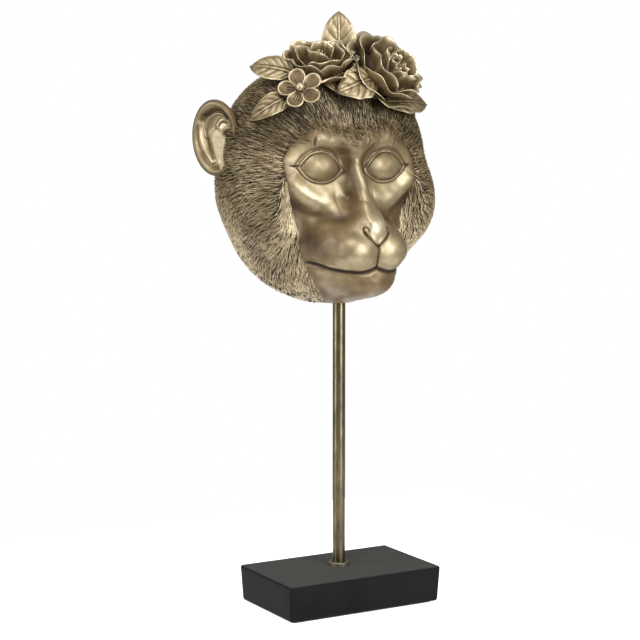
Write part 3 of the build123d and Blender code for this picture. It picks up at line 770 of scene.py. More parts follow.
def head_mask():
    """The hollow head as one closed surface: the outer skin with the face's relief, a flat rim at the
    back, and the inner skin on every third line.
    """
    across = uneven_lines(ACROSS_PLACES, ACROSS_SPACINGS, 3 * ACROSS_THIRDS + 1)
    upward = uneven_lines(UPWARD_PLACES, UPWARD_SPACINGS, 3 * UPWARD_THIRDS + 1)
    outer = skin(head_field, across, upward) * UNIT
    inner = skin(hollow_field, across[::3], upward[::3]) * UNIT
    x, y, z = np.moveaxis(outer / FACE_MM, -1, 0)
    a = np.abs(x)
    below_eye = smooth_step((eye_gap(a, z)[0] - 2.5) / 2) * smooth_step((-z - 3) / 4)
    below_eye *= smooth_step((z + 42) / 8)
    below_eye *= smooth_step((a - 5) / 4) * smooth_step((face_inset(a, z) - 1) / 3) * (y < 0)
    outer = eased(outer, 0.9 * below_eye, EASING_ROUNDS)
    normals = grid_normals(outer)
    x, y, z = np.moveaxis(outer / FACE_MM, -1, 0)
    a = np.abs(x)
    inset = np.where(y < BACK_PLANE / 3, face_inset(a, z), -99)
    near = inset > -6
    height, face_patina_and_painted_light, mouth = (np.zeros(a.shape) for _ in range(3))
    height[near], face_patina_and_painted_light[near], mouth[near] = face_relief(a[near], x[near], z[near])
    bare = smooth_step(inset / 2.5 + 0.6)
    at_back = smooth_step((BACK_PLANE - y * FACE_MM) / 2)
    height = height * bare - FUR_SINK * (1 - bare) * at_back
    outer = outer + normals * (height * FACE_MM)[..., None]
    pits = smooth_step((np.random.default_rng(SEED).random(a.shape) - 0.4) / 0.3)
    rim_band = (1 - bare) * bell(np.maximum(BACK_PLANE - y * FACE_MM - 3, 0), 1.6)
    outer = outer - normals * (0.8 * pits * rim_band * at_back)[..., None]
    outer.reshape(-1, 3)[rim_loop(*a.shape), 1] = BACK_PLANE
    fringe = 0.18 * bell(inset - 1, 3)
    patina = bare * (0.27 + face_patina_and_painted_light + fringe) + (1 - bare) * (1.0 - 0.8 * (1 - pits) * rim_band)
    patina.reshape(-1)[rim_loop(*a.shape)] = 0.5

    outer_faces = grid_faces(*a.shape)
    inner_faces = grid_faces(*inner.shape[:2])[:, ::-1] + a.size
    outer_loop = rim_loop(*a.shape)
    inner_loop = rim_loop(*inner.shape[:2]) + a.size
    steps = np.arange(len(inner_loop)) * 3
    ring = np.stack((
        inner_loop, np.roll(inner_loop, -1), outer_loop[(steps + 3) % len(outer_loop)],
        outer_loop[steps + 2], outer_loop[steps + 1], outer_loop[steps],
    ), -1)
    points = np.concatenate((outer.reshape(-1, 3), inner.reshape(-1, 3)))
    points[:, 2] += EYE_LEVEL
    faces = outer_faces.tolist() + inner_faces.tolist() + ring[:, ::-1].tolist()
    patina = np.concatenate((patina.ravel(), np.full(inner.size // 3, 0.55)))
    stain = np.concatenate((mouth.ravel() * bare.ravel(), np.zeros(inner.size // 3)))
    return points, faces, patina, stain, outer


def field_normals(field, points):
    """Unit normals of a field at points in millimetres, and the field's value there in millimetres."""
    level = field(points / UNIT)
    nudge = 0.02
    slopes = np.stack([field(points / UNIT + nudge * np.eye(3)[axis]) - level for axis in range(3)], -1)
    slopes = slopes / nudge / UNIT
    size = np.maximum(np.linalg.norm(slopes, axis=-1), 1e-9)
    return slopes / size[:, None], level / size


def fur_way(points, normals):
    """The way that the fur lies: outwards from beside the nose, back along the sides, more steeply down
    below the cheeks, and straight down along the face's edge below the eyes.
    """
    x, y, z = points.T / FACE_MM
    out = np.sign(x) * np.maximum(np.abs(x) - 13, 0)
    fall = z + 2 + 0.9 * np.minimum(z + 14, 0)
    way = np.stack((out, np.full(x.shape, 46.0), fall), -1)
    inset = face_inset(np.abs(x), z)
    edge = bell(np.minimum(inset + 3, 0), 6) * smooth_step((8 - z) / 34) * (y < 14)
    way = unit(way)
    way += (1.8 * edge)[:, None] * np.array((0, 0.1, -1.0))
    way -= np.sum(way * normals, -1, keepdims=True) * normals
    return unit(way)


def fur_roots(outer, random):
    """Where locks start: random points of the outer skin's grid in the fur, at most one to a small cube,
    thinning out over the brow; and how far each is inside the bare face.
    """
    rows, columns = outer.shape[:2]
    row = random.integers(0, rows - 1, LOCK_TRIES)
    column = random.integers(0, columns - 1, LOCK_TRIES)
    share = random.random((LOCK_TRIES, 2, 1))
    low = outer[row, column] * (1 - share[:, 0]) + outer[row, column + 1] * share[:, 0]
    high = outer[row + 1, column] * (1 - share[:, 0]) + outer[row + 1, column + 1] * share[:, 0]
    points = low * (1 - share[:, 1]) + high * share[:, 1]
    x, y, z = points.T / FACE_MM
    inset = np.where(y < BACK_PLANE / 3, face_inset(np.abs(x), z), -99)
    reach = 1.0 + 6.0 * smooth_step((z - 8) / 8) * random.random(LOCK_TRIES) ** 2
    behind = BACK_PLANE - points[:, 1]
    kept = (inset < reach) & (behind > BARE_RIM * (0.6 + 0.8 * random.random(LOCK_TRIES)))
    points, inset = points[kept], inset[kept]
    cubes = np.floor(points / LOCK_SPACING).astype(int)
    _, first = np.unique(cubes, axis=0, return_index=True)
    first = np.sort(first)
    return points[first], np.maximum(inset[first], 0)


def fur_locks(roots, inset, random):
    """Carved locks: from each root a path follows the fur's way over the head, swaying as a sine, and a
    three-cornered section runs along it, narrow at both ends, which lie open at the skin, and highest a
    third of the way along. Locks on the brow are lower.
    """
    count = len(roots)
    length = LOCK_LENGTH * (0.7 + 0.6 * random.random(count))
    length = np.minimum(length, BACK_PLANE - roots[:, 1] - 0.4)
    size = 0.75 + 0.5 * random.random(count)
    points = roots.copy()
    paths, normals, ways = [], [], []
    for _ in range(LOCK_POINTS):
        normal, above = field_normals(furred_field, points)
        points = points - normal * above[:, None]
        way = fur_way(points, normal)
        paths.append(points)
        normals.append(normal)
        ways.append(way)
        points = points + way * (length / (LOCK_POINTS - 1))[:, None]
    path, normal, way = (np.stack(stack, 1) for stack in (paths, normals, ways))
    side = np.cross(way, normal)
    share = np.linspace(0, 1, LOCK_POINTS)
    x, y, z = roots.T
    phase = 1.4 * np.sin(x / 7.1 + 1) + 1.6 * np.sin(y / 8.3 + z / 10.7) + 1.5 * np.sin(z / 6.3)
    sway = LOCK_WAVE * np.sin(2 * math.pi * length[:, None] * share / LOCK_WAVELENGTH + phase[:, None])
    path = path + side * sway[..., None] * FACE_MM
    faint = smooth_step(inset / 5)[:, None]
    width = LOCK_WIDTH * size[:, None] * np.sin(math.pi * (0.12 + 0.86 * share)) ** 0.7 * (1 - 0.3 * faint)
    height = LOCK_HEIGHT * size[:, None] * np.sin(math.pi * (0.1 + 0.87 * share ** 0.75))
    crest = (height - LOCK_CREST_DROP) * (1 - faint) + (0.45 * height - 0.1) * faint
    low = path - normal * LOCK_FOOT_DEPTH
    section = np.stack((
        low + side * width[..., None],
        path + normal * crest[..., None],
        low - side * width[..., None],
    ), 2)
    faces = grid_faces(LOCK_POINTS, 3, wrap=True)
    if volume(section[0].reshape(-1, 3), faces) < 0:
        faces = faces[:, ::-1]
    edge = face_inset(np.abs(x) / FACE_MM, z / FACE_MM) * (y < 14)
    # Painted light: locks lower on the head are lighter, and the locks over the brow are darker.
    tone = 0.20 - 0.12 * smooth_step(-z / 40) + 0.16 * smooth_step((z - 8) / 10) * (y < 14)
    tone += 0.36 * (random.random(count) - 0.5) - 0.08 * bell(edge + 4, 5) * (z < 8)
    # Partly painted glints and painted shade: at the rim and on locks that face down and back, about half the
    # locks at random are much darker and the rest a little lighter.
    at_rim = smooth_step((6 - BACK_PLANE + y) / 3)
    at_rim = np.maximum(at_rim, smooth_step((0.8 * normal[:, 0, 1] - normal[:, 0, 2] - 0.5) / 0.3))
    tone += at_rim * (0.95 * (random.random(count) > 0.5) - 0.15)
    tone = tone[:, None] + 0.25 * (1 - np.sin(math.pi * share ** 0.8))
    patina = np.stack((tone + 0.8, tone, tone + 0.8), 2)
    return section, faces, patina


def angles_to_way(azimuth, elevation):
    """A direction from its angles, azimuth 0 straight forward."""
    across, up = math.radians(azimuth), math.radians(elevation)
    return np.array((math.cos(up) * math.sin(across), -math.cos(up) * math.cos(across), math.sin(up)))


def place_on_head(azimuth, elevation):
    """Point of the head, in millimetres, and its outward normal, seen from the skull's centre."""
    point = cast_rays(head_field, angles_to_way(azimuth, elevation)[None])
    normal = np.array([
        (head_field(point + nudge) - head_field(point - nudge))[0] for nudge in np.eye(3) * 0.01
    ]) / UNIT
    return point[0] * UNIT + EYE_LEVEL * UP, unit(normal)


def set_down(points, origin, along, facing):
    """Points from their own frame: +X goes along, +Z as near to facing as that allows."""
    along = unit(along)
    facing = unit(facing - along * (facing @ along))
    return origin + points @ np.stack((along, np.cross(facing, along), facing))


def flower_frame(place, diameter):
    """Origin, upward way and facing of a flower from its row of angles."""
    azimuth, elevation, lift, facing_azimuth, facing_elevation = place
    point, normal = place_on_head(azimuth, elevation)
    facing = angles_to_way(facing_azimuth, facing_elevation)
    return point + normal * lift * diameter, UP - facing * facing[2], facing


def kept_shallow(points):
    """Points of a piece, those that are deeper in the head than its root may go brought up to that depth."""
    normals, above = field_normals(head_field, points - EYE_LEVEL * UP)
    return points + normals * np.maximum(-ROOT_DEPTH - above, 0)[:, None]


def ear_shell(side):
    """A cupped ear: a disc of points with a broad rolled rim, folds and grooves along drawn paths, a rough
    mound down the middle and a knob at the upper front, over a round back. Each form is a bell across its
    distance from its path, in millimetres.
    """
    u, v = np.meshgrid(np.linspace(-1, 1, EAR_LINES), np.linspace(-1, 1, EAR_LINES))
    out, up = disc(u, v)
    radius = np.hypot(out, up)
    across, rise = out * EAR_WIDTH / 2, up * EAR_HEIGHT / 2
    front = 3.0 * bell(radius - 0.87, 0.12) - 4.8 * (1 - radius ** 2) - 0.1
    tone = 0.34 + 0.20 * bell(radius - 0.76, 0.05) + 0.25 * bell(radius - 1, 0.06)
    for path, height, width, shade in (
        (EAR_RIDGE, 2.2, 1.5, -0.20), (EAR_INNER_RIDGE, 1.4, 0.7, -0.18), (EAR_INNER_LINE, -0.7, 0.7, 0.22),
        (EAR_TOP_GROOVE, -1.0, 1.1, 0.22), (EAR_FOLD, 1.7, 1.4, -0.16),
    ):
        away, _ = path_distance(across, rise, path)
        front += height * bell(away, width)
        tone += shade * bell(away, width)
    knob = np.hypot((across + 5.4) / 5.0, (rise - 6.9) / 3.3)
    front += 3.6 * np.exp(-knob ** 4)
    away, _ = path_distance(across, rise, EAR_CURL)
    front -= 1.4 * bell(away, 0.5)
    tone += 0.5 * bell(away, 0.45) - 0.3 * np.exp(-knob ** 4)
    hollow = np.hypot(across + 6.2, rise - 1.8)
    front -= 1.6 * bell(hollow, 2.4)
    tone += 0.45 * bell(hollow, 2.4)
    away, along = path_distance(across, rise, EAR_MOUND)
    mound = np.exp(-(away / (6.4 - 4.4 * along ** 1.5)) ** 4)
    pits = np.sin(4.1 * across + 1.3 * rise) * np.sin(3.3 * rise - 1.7 * across)
    pits += np.sin(7.3 * across) * np.sin(5.9 * rise + 2)
    front += mound * (2.9 + 0.32 * pits - 0.3 * bell(away, 0.8))
    tone += mound * (0.16 * pits - 0.46)
    back = -0.7 - (EAR_DEPTH - 0.8) * np.sqrt(np.clip(1 - radius ** 2, 0, 1))
    facing, lean = math.radians(EAR_FACING), math.radians(EAR_LEAN)
    outward = np.array((side * math.cos(facing), math.sin(facing), 0))
    axes = np.stack((
        outward * math.cos(lean) - UP * math.sin(lean),
        UP * math.cos(lean) + outward * math.sin(lean),
        np.array((side * math.sin(facing), -math.cos(facing), 0)),
    ))
    centre = EAR_ROOT_SHARES * UNIT * (side, 1, 1) + EYE_LEVEL * UP + outward * EAR_WIDTH / 2
    depths = (front, np.minimum(back, front - 0.8))
    points, faces = slab(*(centre + np.stack((across, rise, depth), -1) @ axes for depth in depths))
    return joined([(points, faces, two_sided(tone, 0.4))])


def petal(reach, rise, middle, half_angle, curl, ruffle, phase):
    """A cupped petal: out from the middle by the sine of its way along and up by one less the cosine,
    with a lip that curls out and a rim that waves, as a plate that thins towards the rim.
    """
    rows, columns = PETAL_LINES
    s, t = np.meshgrid(np.linspace(PETAL_START, 1, rows), np.linspace(-1, 1, columns), indexing="ij")
    along = s * (1 - 0.26 * t ** 4 - 0.035 * np.cos(5 * t + phase) * np.abs(t))
    angle = math.radians(middle) + math.radians(half_angle) * t * (0.5 + 0.5 * s)
    wave = ruffle * along ** 4
    out = reach * np.sin(along * math.pi / 2) ** 0.85 + curl * along ** 7 + wave * np.sin(8 * t + phase)
    up = rise * (1 - np.cos(along * math.pi / 2)) - 0.6 * curl * along ** 9
    up += 0.8 * wave * np.cos(7 * t + phase)
    back = np.stack((out * np.cos(angle), out * np.sin(angle), up), -1)
    normals = grid_normals(back)
    centre = np.stack((np.cos(angle), np.sin(angle), 0 * angle), -1)
    normals *= -np.sign(np.sum(normals * centre, -1, keepdims=True) + 1e-9)
    plate = PETAL_THICKNESS * (1 - 0.5 * s ** 3)
    rim = np.minimum(smooth_step((1 - np.abs(t)) * 8), smooth_step((1 - s) * 10))
    front = back + normals * (plate * (0.3 + 0.7 * rim))[..., None]
    points, faces = slab(front, back)
    # Painted highlight along the rim and sides, and painted shade deepening towards the root.
    edge = bell(1 - s, 0.06) + bell(1 - np.abs(t), 0.04)
    streaks = 0.07 * np.sin(17 * t + phase) * np.sin(5 * s + 3 * t)
    inside = 0.66 - 0.36 * s - 0.4 * edge + streaks
    outside = 0.55 - 0.30 * s - 0.3 * edge + streaks
    return points, faces, two_sided(inside, outside)


def rolled_bud(radius, rise, turns, phase):
    """A rolled petal at a rose's heart: a strip that winds outwards as it goes round, its rim dipping."""
    rows, columns = BUD_LINES
    s, t = np.meshgrid(np.linspace(0, 1, rows), np.linspace(0, 1, columns), indexing="ij")
    angle = phase + turns * 2 * math.pi * t
    wind = radius * (0.22 + 0.78 * t) * (0.72 + 0.28 * np.sin(math.pi * (0.25 + 0.75 * s)))
    up = rise * s * (1 - 0.22 * t + 0.06 * np.sin(3 * angle))
    back = np.stack((wind * np.cos(angle) * 1.15, wind * np.sin(angle) * 0.85, up), -1)
    thinning = (0.9 / np.maximum(wind, 0.9))[..., None] * np.array((0.55, 0.55, 0))
    front = back * (1 - thinning)
    points, faces = slab(front, back)
    tone = 0.6 - 0.5 * s
    return points, faces, two_sided(tone + 0.1, tone - 0.05)


def rose_heart(radius, height):
    """A rounded filling under the petals, so that nothing shows through the rose: an egg of rings."""
    rows, columns = HEART_LINES
    turns = np.linspace(0, 2 * math.pi, columns + 1)[:-1]
    s, t = np.meshgrid(np.linspace(0.001, 0.999, rows), turns, indexing="ij")
    ring = radius * np.sin(math.pi * s)
    points = np.stack((ring * np.cos(t), ring * np.sin(t), height * (0.5 - 0.5 * np.cos(math.pi * s))), -1)
    faces = grid_faces(rows, columns, wrap=True)
    return points.reshape(-1, 3), faces, np.full(rows * columns, 0.8)


ROSE_LARGE_RINGS = (
    # count, reach, rise, half angle, curl, ruffle, first angle: shares of the diameter and degrees
    (3, 0.445, 0.21, 68, 0.055, 0.034, 60),
    (3, 0.40, 0.32, 66, 0.050, 0.036, 0),
    (3, 0.325, 0.40, 66, 0.025, 0.028, 70),
    (3, 0.225, 0.43, 64, 0.000, 0.020, 20),
    (4, 0.130, 0.40, 52, 0.000, 0.026, 50),
)
ROSE_SMALL_RINGS = (
    (4, 0.44, 0.24, 54, 0.055, 0.040, 20),
    (4, 0.40, 0.35, 54, 0.035, 0.036, 65),
    (3, 0.28, 0.41, 66, 0.015, 0.020, 10),
    (2, 0.17, 0.44, 92, 0.000, 0.012, 70),
)
ROSES = (
    # node, diameter, place, rings, heart's place, first angle, bud's radius, stretch below and across
    ("rose_large", ROSE_LARGE_DIAMETER, ROSE_LARGE_PLACE, ROSE_LARGE_RINGS, (-3.2, -4.2, 0), 25, 0.07, 1, 1),
    ("rose_small", ROSE_SMALL_DIAMETER, ROSE_SMALL_PLACE, ROSE_SMALL_RINGS, (0, 0, 0), 70, 0.11, 0.76, 1.08),
)


def rose(diameter, rings, heart, phase, bud_share):
    """A full rose that opens along +Z: rings of broad ruffled petals round a rolled bud, on a round
    calyx, the rings stepping over towards the heart's own place.
    """
    core, calyx = (
        rose_heart(*(share * diameter for share in shares)) for shares in (ROSE_CORE_SHARES, CALYX_SHARES)
    )
    parts = [core, (calyx[0] - CALYX_DROP_SHARE * diameter * UP, *calyx[1:])]
    for ring, (count, reach, rise, half_angle, curl, ruffle, first) in enumerate(rings):
        for index in range(count):
            turn = phase + first + 360 * index / count
            wobble = 0.06 * math.sin(7.3 * index + 3.1 * ring + phase)
            points, faces, tone = petal(
                reach * diameter * (1 + wobble), rise * diameter * (1 - wobble), turn, half_angle,
                curl * diameter, ruffle * diameter, 2.1 * index + ring + phase,
            )
            parts.append((points + heart * min(ring / 3, 1), faces, tone))
    points, faces, tone = rolled_bud(
        bud_share * diameter, BUD_RISE_SHARE * diameter, BUD_TURNS, math.radians(phase),
    )
    parts.append((points + heart, faces, tone))
    return joined(parts)


def blossom_petal(reach, turn, stamens):
    """A cupped petal as a pressed disc: it widens outwards, dips in the middle and ends in a round bead,
    with three sunk lines from its root.
    """
    u, v = np.meshgrid(np.linspace(-1, 1, BLOSSOM_LINES), np.linspace(-1, 1, BLOSSOM_LINES))
    x, y = disc(u, v)
    radius = np.hypot(x, y)
    half = reach * 0.42
    along = reach - half + x * half * 1.06
    across = y * half * (0.93 + 0.12 * x)
    bead = bell(radius - 0.86, 0.10)
    height = 0.6 + 1.5 * radius ** 2 + 0.55 * bead + 0.5 * x
    fan = np.abs(across / (1 + 0.25 * x))
    nearest = np.minimum(fan, np.abs(fan - 1.35))
    lines = bell(nearest, 0.24) * smooth_step((0.25 - x - 0.2 * np.abs(y)) * 4) * stamens
    height -= 0.4 * lines * (1 - bead)
    edge = smooth_step((1 - radius) * 8)
    back = height - 0.5 - 1.0 * edge
    angle = math.radians(turn)
    shells = [
        np.stack((along * math.cos(angle) - across * math.sin(angle),
                  along * math.sin(angle) + across * math.cos(angle), level), -1)
        for level in (height - 0.25 * (1 - edge), back)
    ]
    points, faces = slab(*shells)
    tone = 0.46 - 0.42 * bead + 0.6 * lines + 0.35 * smooth_step((-0.45 - x) * 2)
    return points, faces, two_sided(tone, 0.6)


def blossom():
    """Five cupped petals round a ball, opening along +Z, on a short stem."""
    reach = BLOSSOM_DIAMETER / 2
    parts = [blossom_petal(reach, 90 + 72 * index, 1.0 if index in (0, 1) else 0.7) for index in range(5)]
    ball, faces, _ = rose_heart(reach * 0.2, reach * 0.4)
    parts.append((ball + (0, 0, 0.6), faces, np.full(len(ball), 0.12)))
    stem, faces, tone = rose_heart(reach * 0.42, 12.0)
    parts.append((stem - (0, 0, 11.2), faces, tone))
    return joined(parts)


def leaf(length, width, outline_shares, phase, ruffle):
    """A leaf along +X: its half width follows the outline over its length, it folds up on each side of
    the midrib and bends over a large radius, with pads between sunk side veins, a raised midrib in a
    groove and a raised edge.
    """
    rows, columns = LEAF_LINES
    s, t = np.meshgrid(np.linspace(0, 1, rows), np.linspace(-1, 1, columns), indexing="ij")
    places, halves = zip(*outline_shares)
    knots = np.linspace(0, 1, 200)
    outline = np.interp(knots, places, halves)
    outline = np.convolve(np.pad(outline, 12, mode="edge"), np.hanning(25) / np.hanning(25).sum(), "valid")
    outline = outline * np.minimum(1, 6 * np.sqrt(knots)) * np.minimum(1, 9 * (1 - knots) ** 0.7)
    half = np.interp(s, knots, outline) * width * (1 + 0.02 * np.sin(23 * s + phase))
    x, y = s * length, t * half
    bend = length * BEND_SHARE
    slant = 5.5 * s - 2.0 * np.abs(t) * (1 - 0.4 * s)
    vein_line = np.cos(2 * math.pi * slant + 0.5 * np.sin(5 * s + phase))
    inner = smooth_step((1 - np.abs(t)) * 4) * smooth_step(np.abs(t) * 6)
    veins = smooth_step((vein_line - 0.72) / 0.28) * inner
    rib = bell(y, 0.45) * (1 - 0.6 * s)
    groove = bell(np.abs(y) - 0.95, 0.34) * (1 - 0.4 * s)
    edge = bell(1 - np.abs(t), 0.06)
    z = np.sqrt(bend ** 2 - x ** 2) - bend + FOLD_SHARE * np.sqrt(y ** 2 + 0.4)
    z += ruffle * np.abs(t) ** 3 * np.sin(9 * s + 2 * np.sign(t) + phase)
    z -= 0.10 * width * np.abs(t) ** 4
    relief = 0.5 * rib - 0.3 * groove + 0.3 * edge + inner * (0.16 * (1 - vein_line) - 0.25 * veins)
    to_points = smooth_step(np.minimum(s, 1 - s) * 14 + 0.05)
    thick = LEAF_THICKNESS * np.minimum(smooth_step((1 - np.abs(t)) * 7), to_points) + 0.35
    tilt = 1 / (2 * BEND_SHARE)
    shells = [
        np.stack((
            x * math.cos(tilt) - level * math.sin(tilt), y, x * math.sin(tilt) + level * math.cos(tilt),
        ), -1)
        for level in (z + relief, z + 0.35 * edge - thick)
    ]
    points, faces = slab(*shells)
    tone = 0.33 + 0.2 * veins - 0.26 * edge + 0.5 * groove - 0.12 * rib + 0.2 * smooth_step(1 - 3 * s)
    return points, faces, two_sided(tone, 0.6)


def seated_leaf(name):
    """A leaf set between its two places on the head, its back to the head, then fitted as listed."""
    length, width, root, tip, lift, tip_lift, turn = LEAF_SHARES[name]
    width *= LEAF_WIDTH
    start, root_normal = place_on_head(*root)
    end, tip_normal = place_on_head(*tip)
    start = start + root_normal * lift * width
    end = end + tip_normal * tip_lift * width
    facing = root_normal + tip_normal + np.array((0, -turn, 0))
    ruffle = 0.9 if "under" in name else 0.5
    points, faces, tone = leaf(length * LEAF_LENGTH, width, LEAF_OUTLINE_SHARES, len(name), ruffle)
    plane, rise, shade = LEAF_FITS.get(name, (((1, 0), (0, 1)), 0, 0))
    points = np.concatenate((points[:, :2] @ np.array(plane), points[:, 2:] + rise), -1)
    # The fit's patina shift is a painted light on the leaf.
    return joined([(set_down(points, start, end - start, facing), faces, tone + shade)])


def top_leaf():
    """The leaf that stands upright behind the small rose."""
    length, width, root, lift, across = TOP_LEAF_SHARES
    start, normal = place_on_head(*root)
    facing = angles_to_way(across, 0)
    points, faces, tone = leaf(length * LEAF_LENGTH, width * LEAF_WIDTH, TOP_OUTLINE_SHARES, 1.0, 0.4)
    points = set_down(points, start + normal * lift * LEAF_WIDTH, UP, facing)
    # Painted light: the whole leaf is lighter.
    return joined([(points, faces, tone - 0.12)])


def turned_ring(profile, segments):
    """A closed profile of radius and height, carried round the rod's axis."""
    turn = np.linspace(0, 2 * math.pi, segments, endpoint=False)
    radius, height = np.array(profile).T
    points = np.stack(np.broadcast_arrays(
        radius * np.cos(turn)[:, None], radius * np.sin(turn)[:, None], height
    ), -1)
    rows = np.concatenate((points, points[:1]))
    faces = grid_faces(segments + 1, len(profile), wrap=True) % points[..., 0].size
    return rows[:-1].reshape(-1, 3), faces


def felt_pad():
    """The felt sheet: rings of a rounded rectangle, in from the rim at both faces, its cut edge wavy."""
    low, high = box_corners("felt_sheet")
    turn = np.linspace(0, 2 * math.pi, FELT_POINTS, endpoint=False)
    centre, half = (low + high)[:2] / 2, (high - low)[:2] / 2
    ray = np.stack((np.cos(turn), np.sin(turn)), -1)
    outline = np.clip(ray * 200, FELT_CORNER - half, half - FELT_CORNER)
    outline = outline + FELT_CORNER * unit(ray)
    shrink = np.array((0.002, 0.99, 0.997, 0.998, 0.992, 0.002))
    level = low[2] + (high[2] - low[2]) * np.array((0, 0, 0.25, 0.75, 1, 1))
    wave = 1 - 0.001 * (1 + np.sin(37 * turn))
    flat = outline[None] * shrink[:, None, None] * wave[:, None]
    rows, columns = flat.shape[:2]
    points = np.concatenate((flat + centre, np.broadcast_to(level[:, None, None], (rows, columns, 1))), -1)
    faces = grid_faces(rows, columns, wrap=True)
    return joined([(points.reshape(-1, 3), faces, np.zeros(rows * columns))])


def rounded_block():
    """The block as a cube's six square grids, each point held to a smaller box and pushed out from it by
    the rounding radius, so that all edges and corners are round, and drawn in towards its foot.
    """
    low, high = box_corners("base_block")
    centre, half = (low + high) / 2, (high - low) / 2
    bend = np.linspace(0, 1, 7)[1:]
    steps = np.concatenate((-1 - bend[::-1], np.linspace(-1, 1, 9), 1 + bend))
    u, v = np.meshgrid(steps, steps, indexing="ij")
    points, faces = [], []
    for axis in range(3):
        for side in (-1, 1):
            cube = np.roll(np.stack((np.full(u.shape, 2.0 * side), u, v * side), -1), axis, -1)
            held = np.clip(cube, -1, 1)
            pushed = held * (half - BLOCK_ROUNDING) + unit(cube - held) * BLOCK_ROUNDING
            faces.append(grid_faces(*u.shape) + len(points) * u.size)
            points.append(pushed.reshape(-1, 3))
    points, faces = np.concatenate(points), np.concatenate(faces)
    points[:, :2] *= 1 - BLOCK_TAPER * (half[2] - points[:, 2:]) / (2 * half[2] * half[:2])
    _, first, back = np.unique(np.round(points, 5), axis=0, return_index=True, return_inverse=True)
    return joined([(centre + points[first], back.reshape(-1)[faces], np.zeros(len(first)))])


def build_head(random):
    """The mask, its boss and its fur, whose locks are shared out over several pieces."""
    points, faces, patina, stain, outer = head_mask()
    skin_paint = gold_paint("satin_gold_over_umber", GOLD_STOPS, 0.30, 0.10)
    fur_paint = gold_paint("rubbed_gold_on_carved_fur", FUR_STOPS, 0.42, 0.15)
    tones = {"patina": patina, "stain": stain}
    piece("mask_skin", points, faces, skin_paint, "head_shell", tones)
    section, faces, tone = fur_locks(*fur_roots(outer, random), random)
    section = section + EYE_LEVEL * UP
    for group in range(LOCK_GROUPS):
        first, last = (len(section) * (group + step) // LOCK_GROUPS for step in (0, 1))
        start = np.arange(last - first)[:, None, None] * 3 * LOCK_POINTS
        piece(
            f"fur_locks_{group + 1}", section[first:last].reshape(-1, 3), (faces + start).reshape(-1, 4),
            fur_paint, "head_shell", {"patina": tone[first:last].ravel()},
        )
    top = box_corners("head_washer")[0][2]
    points, faces = turned_ring([(radius, top + height) for radius, height in BOSS_PROFILE], 64)
    points, faces, patina = joined([(points, faces, np.full(len(points), 0.5))])
    piece("chin_boss", points, faces, skin_paint, "head_shell", {"patina": patina})
    return skin_paint


def build_crown(paint):
    """Ears, roses, blossom and leaves, each in the place of its node."""
    pieces = {"ear_left": ear_shell(1), "ear_right": ear_shell(-1)}
    for node, diameter, place, rings, heart, phase, bud, low, wide in ROSES:
        points, faces, tone = rose(diameter, rings, np.array(heart), phase, bud)
        points = points * np.where(points[:, :1] < 0, (low, wide, 1), (1, wide, 1))
        pieces[node] = set_down(points, *flower_frame(place, diameter)), faces, tone
    points, faces, tone = blossom()
    points = BLOSSOM_GROWTH * points + BLOSSOM_SHIFT
    pieces["blossom"] = set_down(points, *flower_frame(BLOSSOM_PLACE, BLOSSOM_DIAMETER)), faces, tone
    for node in LEAF_SHARES:
        pieces[node] = seated_leaf(node)
    pieces["leaf_top"] = top_leaf()
    for node, (points, faces, tone) in pieces.items():
        points = points if "ear" in node else kept_shallow(points)
        piece(f"cast_{node}", points, faces, paint, node, {"patina": tone})


def build_stand():
    """Materials for the turned and sawn pieces, and the felt."""
    steel = fastener_steel()
    finishes = {
        "rod": rod_metal(), "collar": collar_metal(),
        "foot_washer": steel, "foot_screw": steel, "head_washer": steel, "head_nut": steel,
    }
    for node, material in finishes.items():
        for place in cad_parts[node].material_slots:
            place.material = material
    points, faces, _ = rounded_block()
    piece("block_body", points, faces, black_block_paint(), "base_block")
    points, faces, _ = felt_pad()
    piece("felt_pad", points, faces, felt_cloth(), "felt_sheet")


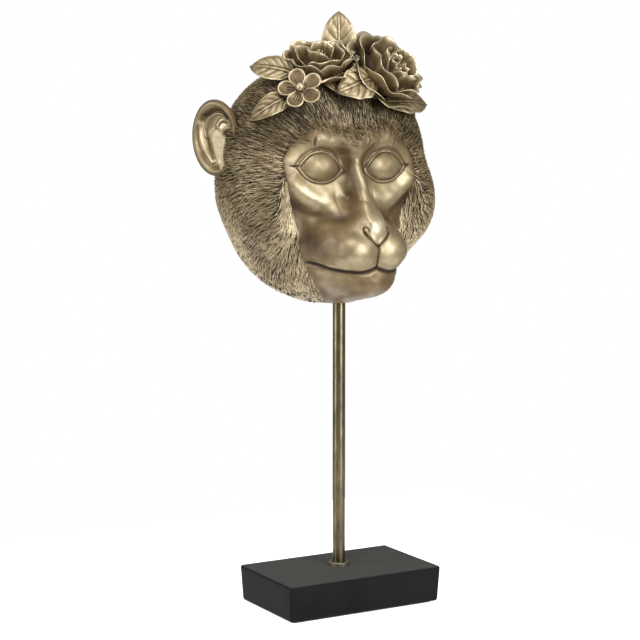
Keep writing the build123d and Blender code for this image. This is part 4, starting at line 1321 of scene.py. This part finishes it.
def build_studio():
    """Camera, floor, soft lights and a white surround."""
    lens = bpy.data.cameras.new("camera")
    lens.lens = CAMERA_LENS
    lens.sensor_width = SENSOR_WIDTH
    camera = bpy.data.objects.new("camera", lens)
    camera.location = CAMERA_PLACE
    camera.rotation_euler = (math.radians(CAMERA_TILT), 0, math.radians(CAMERA_TURN))
    bpy.context.collection.objects.link(camera)
    bpy.context.scene.camera = camera

    mesh = bpy.data.meshes.new("floor")
    corners = [(FLOOR_HALF * x, FLOOR_HALF * y, 0) for x, y in ((-1, -1), (1, -1), (1, 1), (-1, 1))]
    mesh.from_pydata(corners, [], [(0, 1, 2, 3)])
    material, tree, shader, _ = new_material("white_paper_sweep")
    set_inputs(tree, shader, {
        "Base Color": linear("#f4f4f4"), "Roughness": 0.9,
        "Emission Color": linear("#ffffff"), "Emission Strength": 0.9,
    })
    mesh.materials.append(material)
    floor = bpy.data.objects.new("floor", mesh)
    bpy.context.collection.objects.link(floor)

    for name, place, aim, width, height, power in LAMPS:
        lamp = bpy.data.lights.new(name, "AREA")
        lamp.shape = "RECTANGLE"
        lamp.size, lamp.size_y, lamp.energy = width, height, power
        light = bpy.data.objects.new(name, lamp)
        light.location = place
        way = np.array(aim) - np.array(place)
        light.rotation_euler = (
            math.atan2(math.hypot(way[0], way[1]), -way[2]), 0, math.atan2(-way[0], way[1]),
        )
        bpy.context.collection.objects.link(light)

    world = bpy.data.worlds.new("studio")
    world.use_nodes = True
    tree = world.node_tree
    tree.nodes.clear()
    seen = add_node(tree, "ShaderNodeLightPath").outputs["Is Camera Ray"]
    surround = add_node(tree, "ShaderNodeBackground", {"Color": linear("#e8e6e2"), "Strength": 0.4})
    white = add_node(tree, "ShaderNodeBackground", {"Color": (1, 1, 1, 1), "Strength": 1.0})
    mixed = add_node(tree, "ShaderNodeMixShader", {0: seen, 1: surround.outputs[0], 2: white.outputs[0]})
    add_node(tree, "ShaderNodeOutputWorld", {"Surface": mixed.outputs[0]})
    bpy.context.scene.world = world
    bpy.context.scene.view_settings.view_transform = "Standard"


build_studio()
build_stand()
PAINT = build_head(np.random.default_rng(SEED))
build_crown(PAINT)
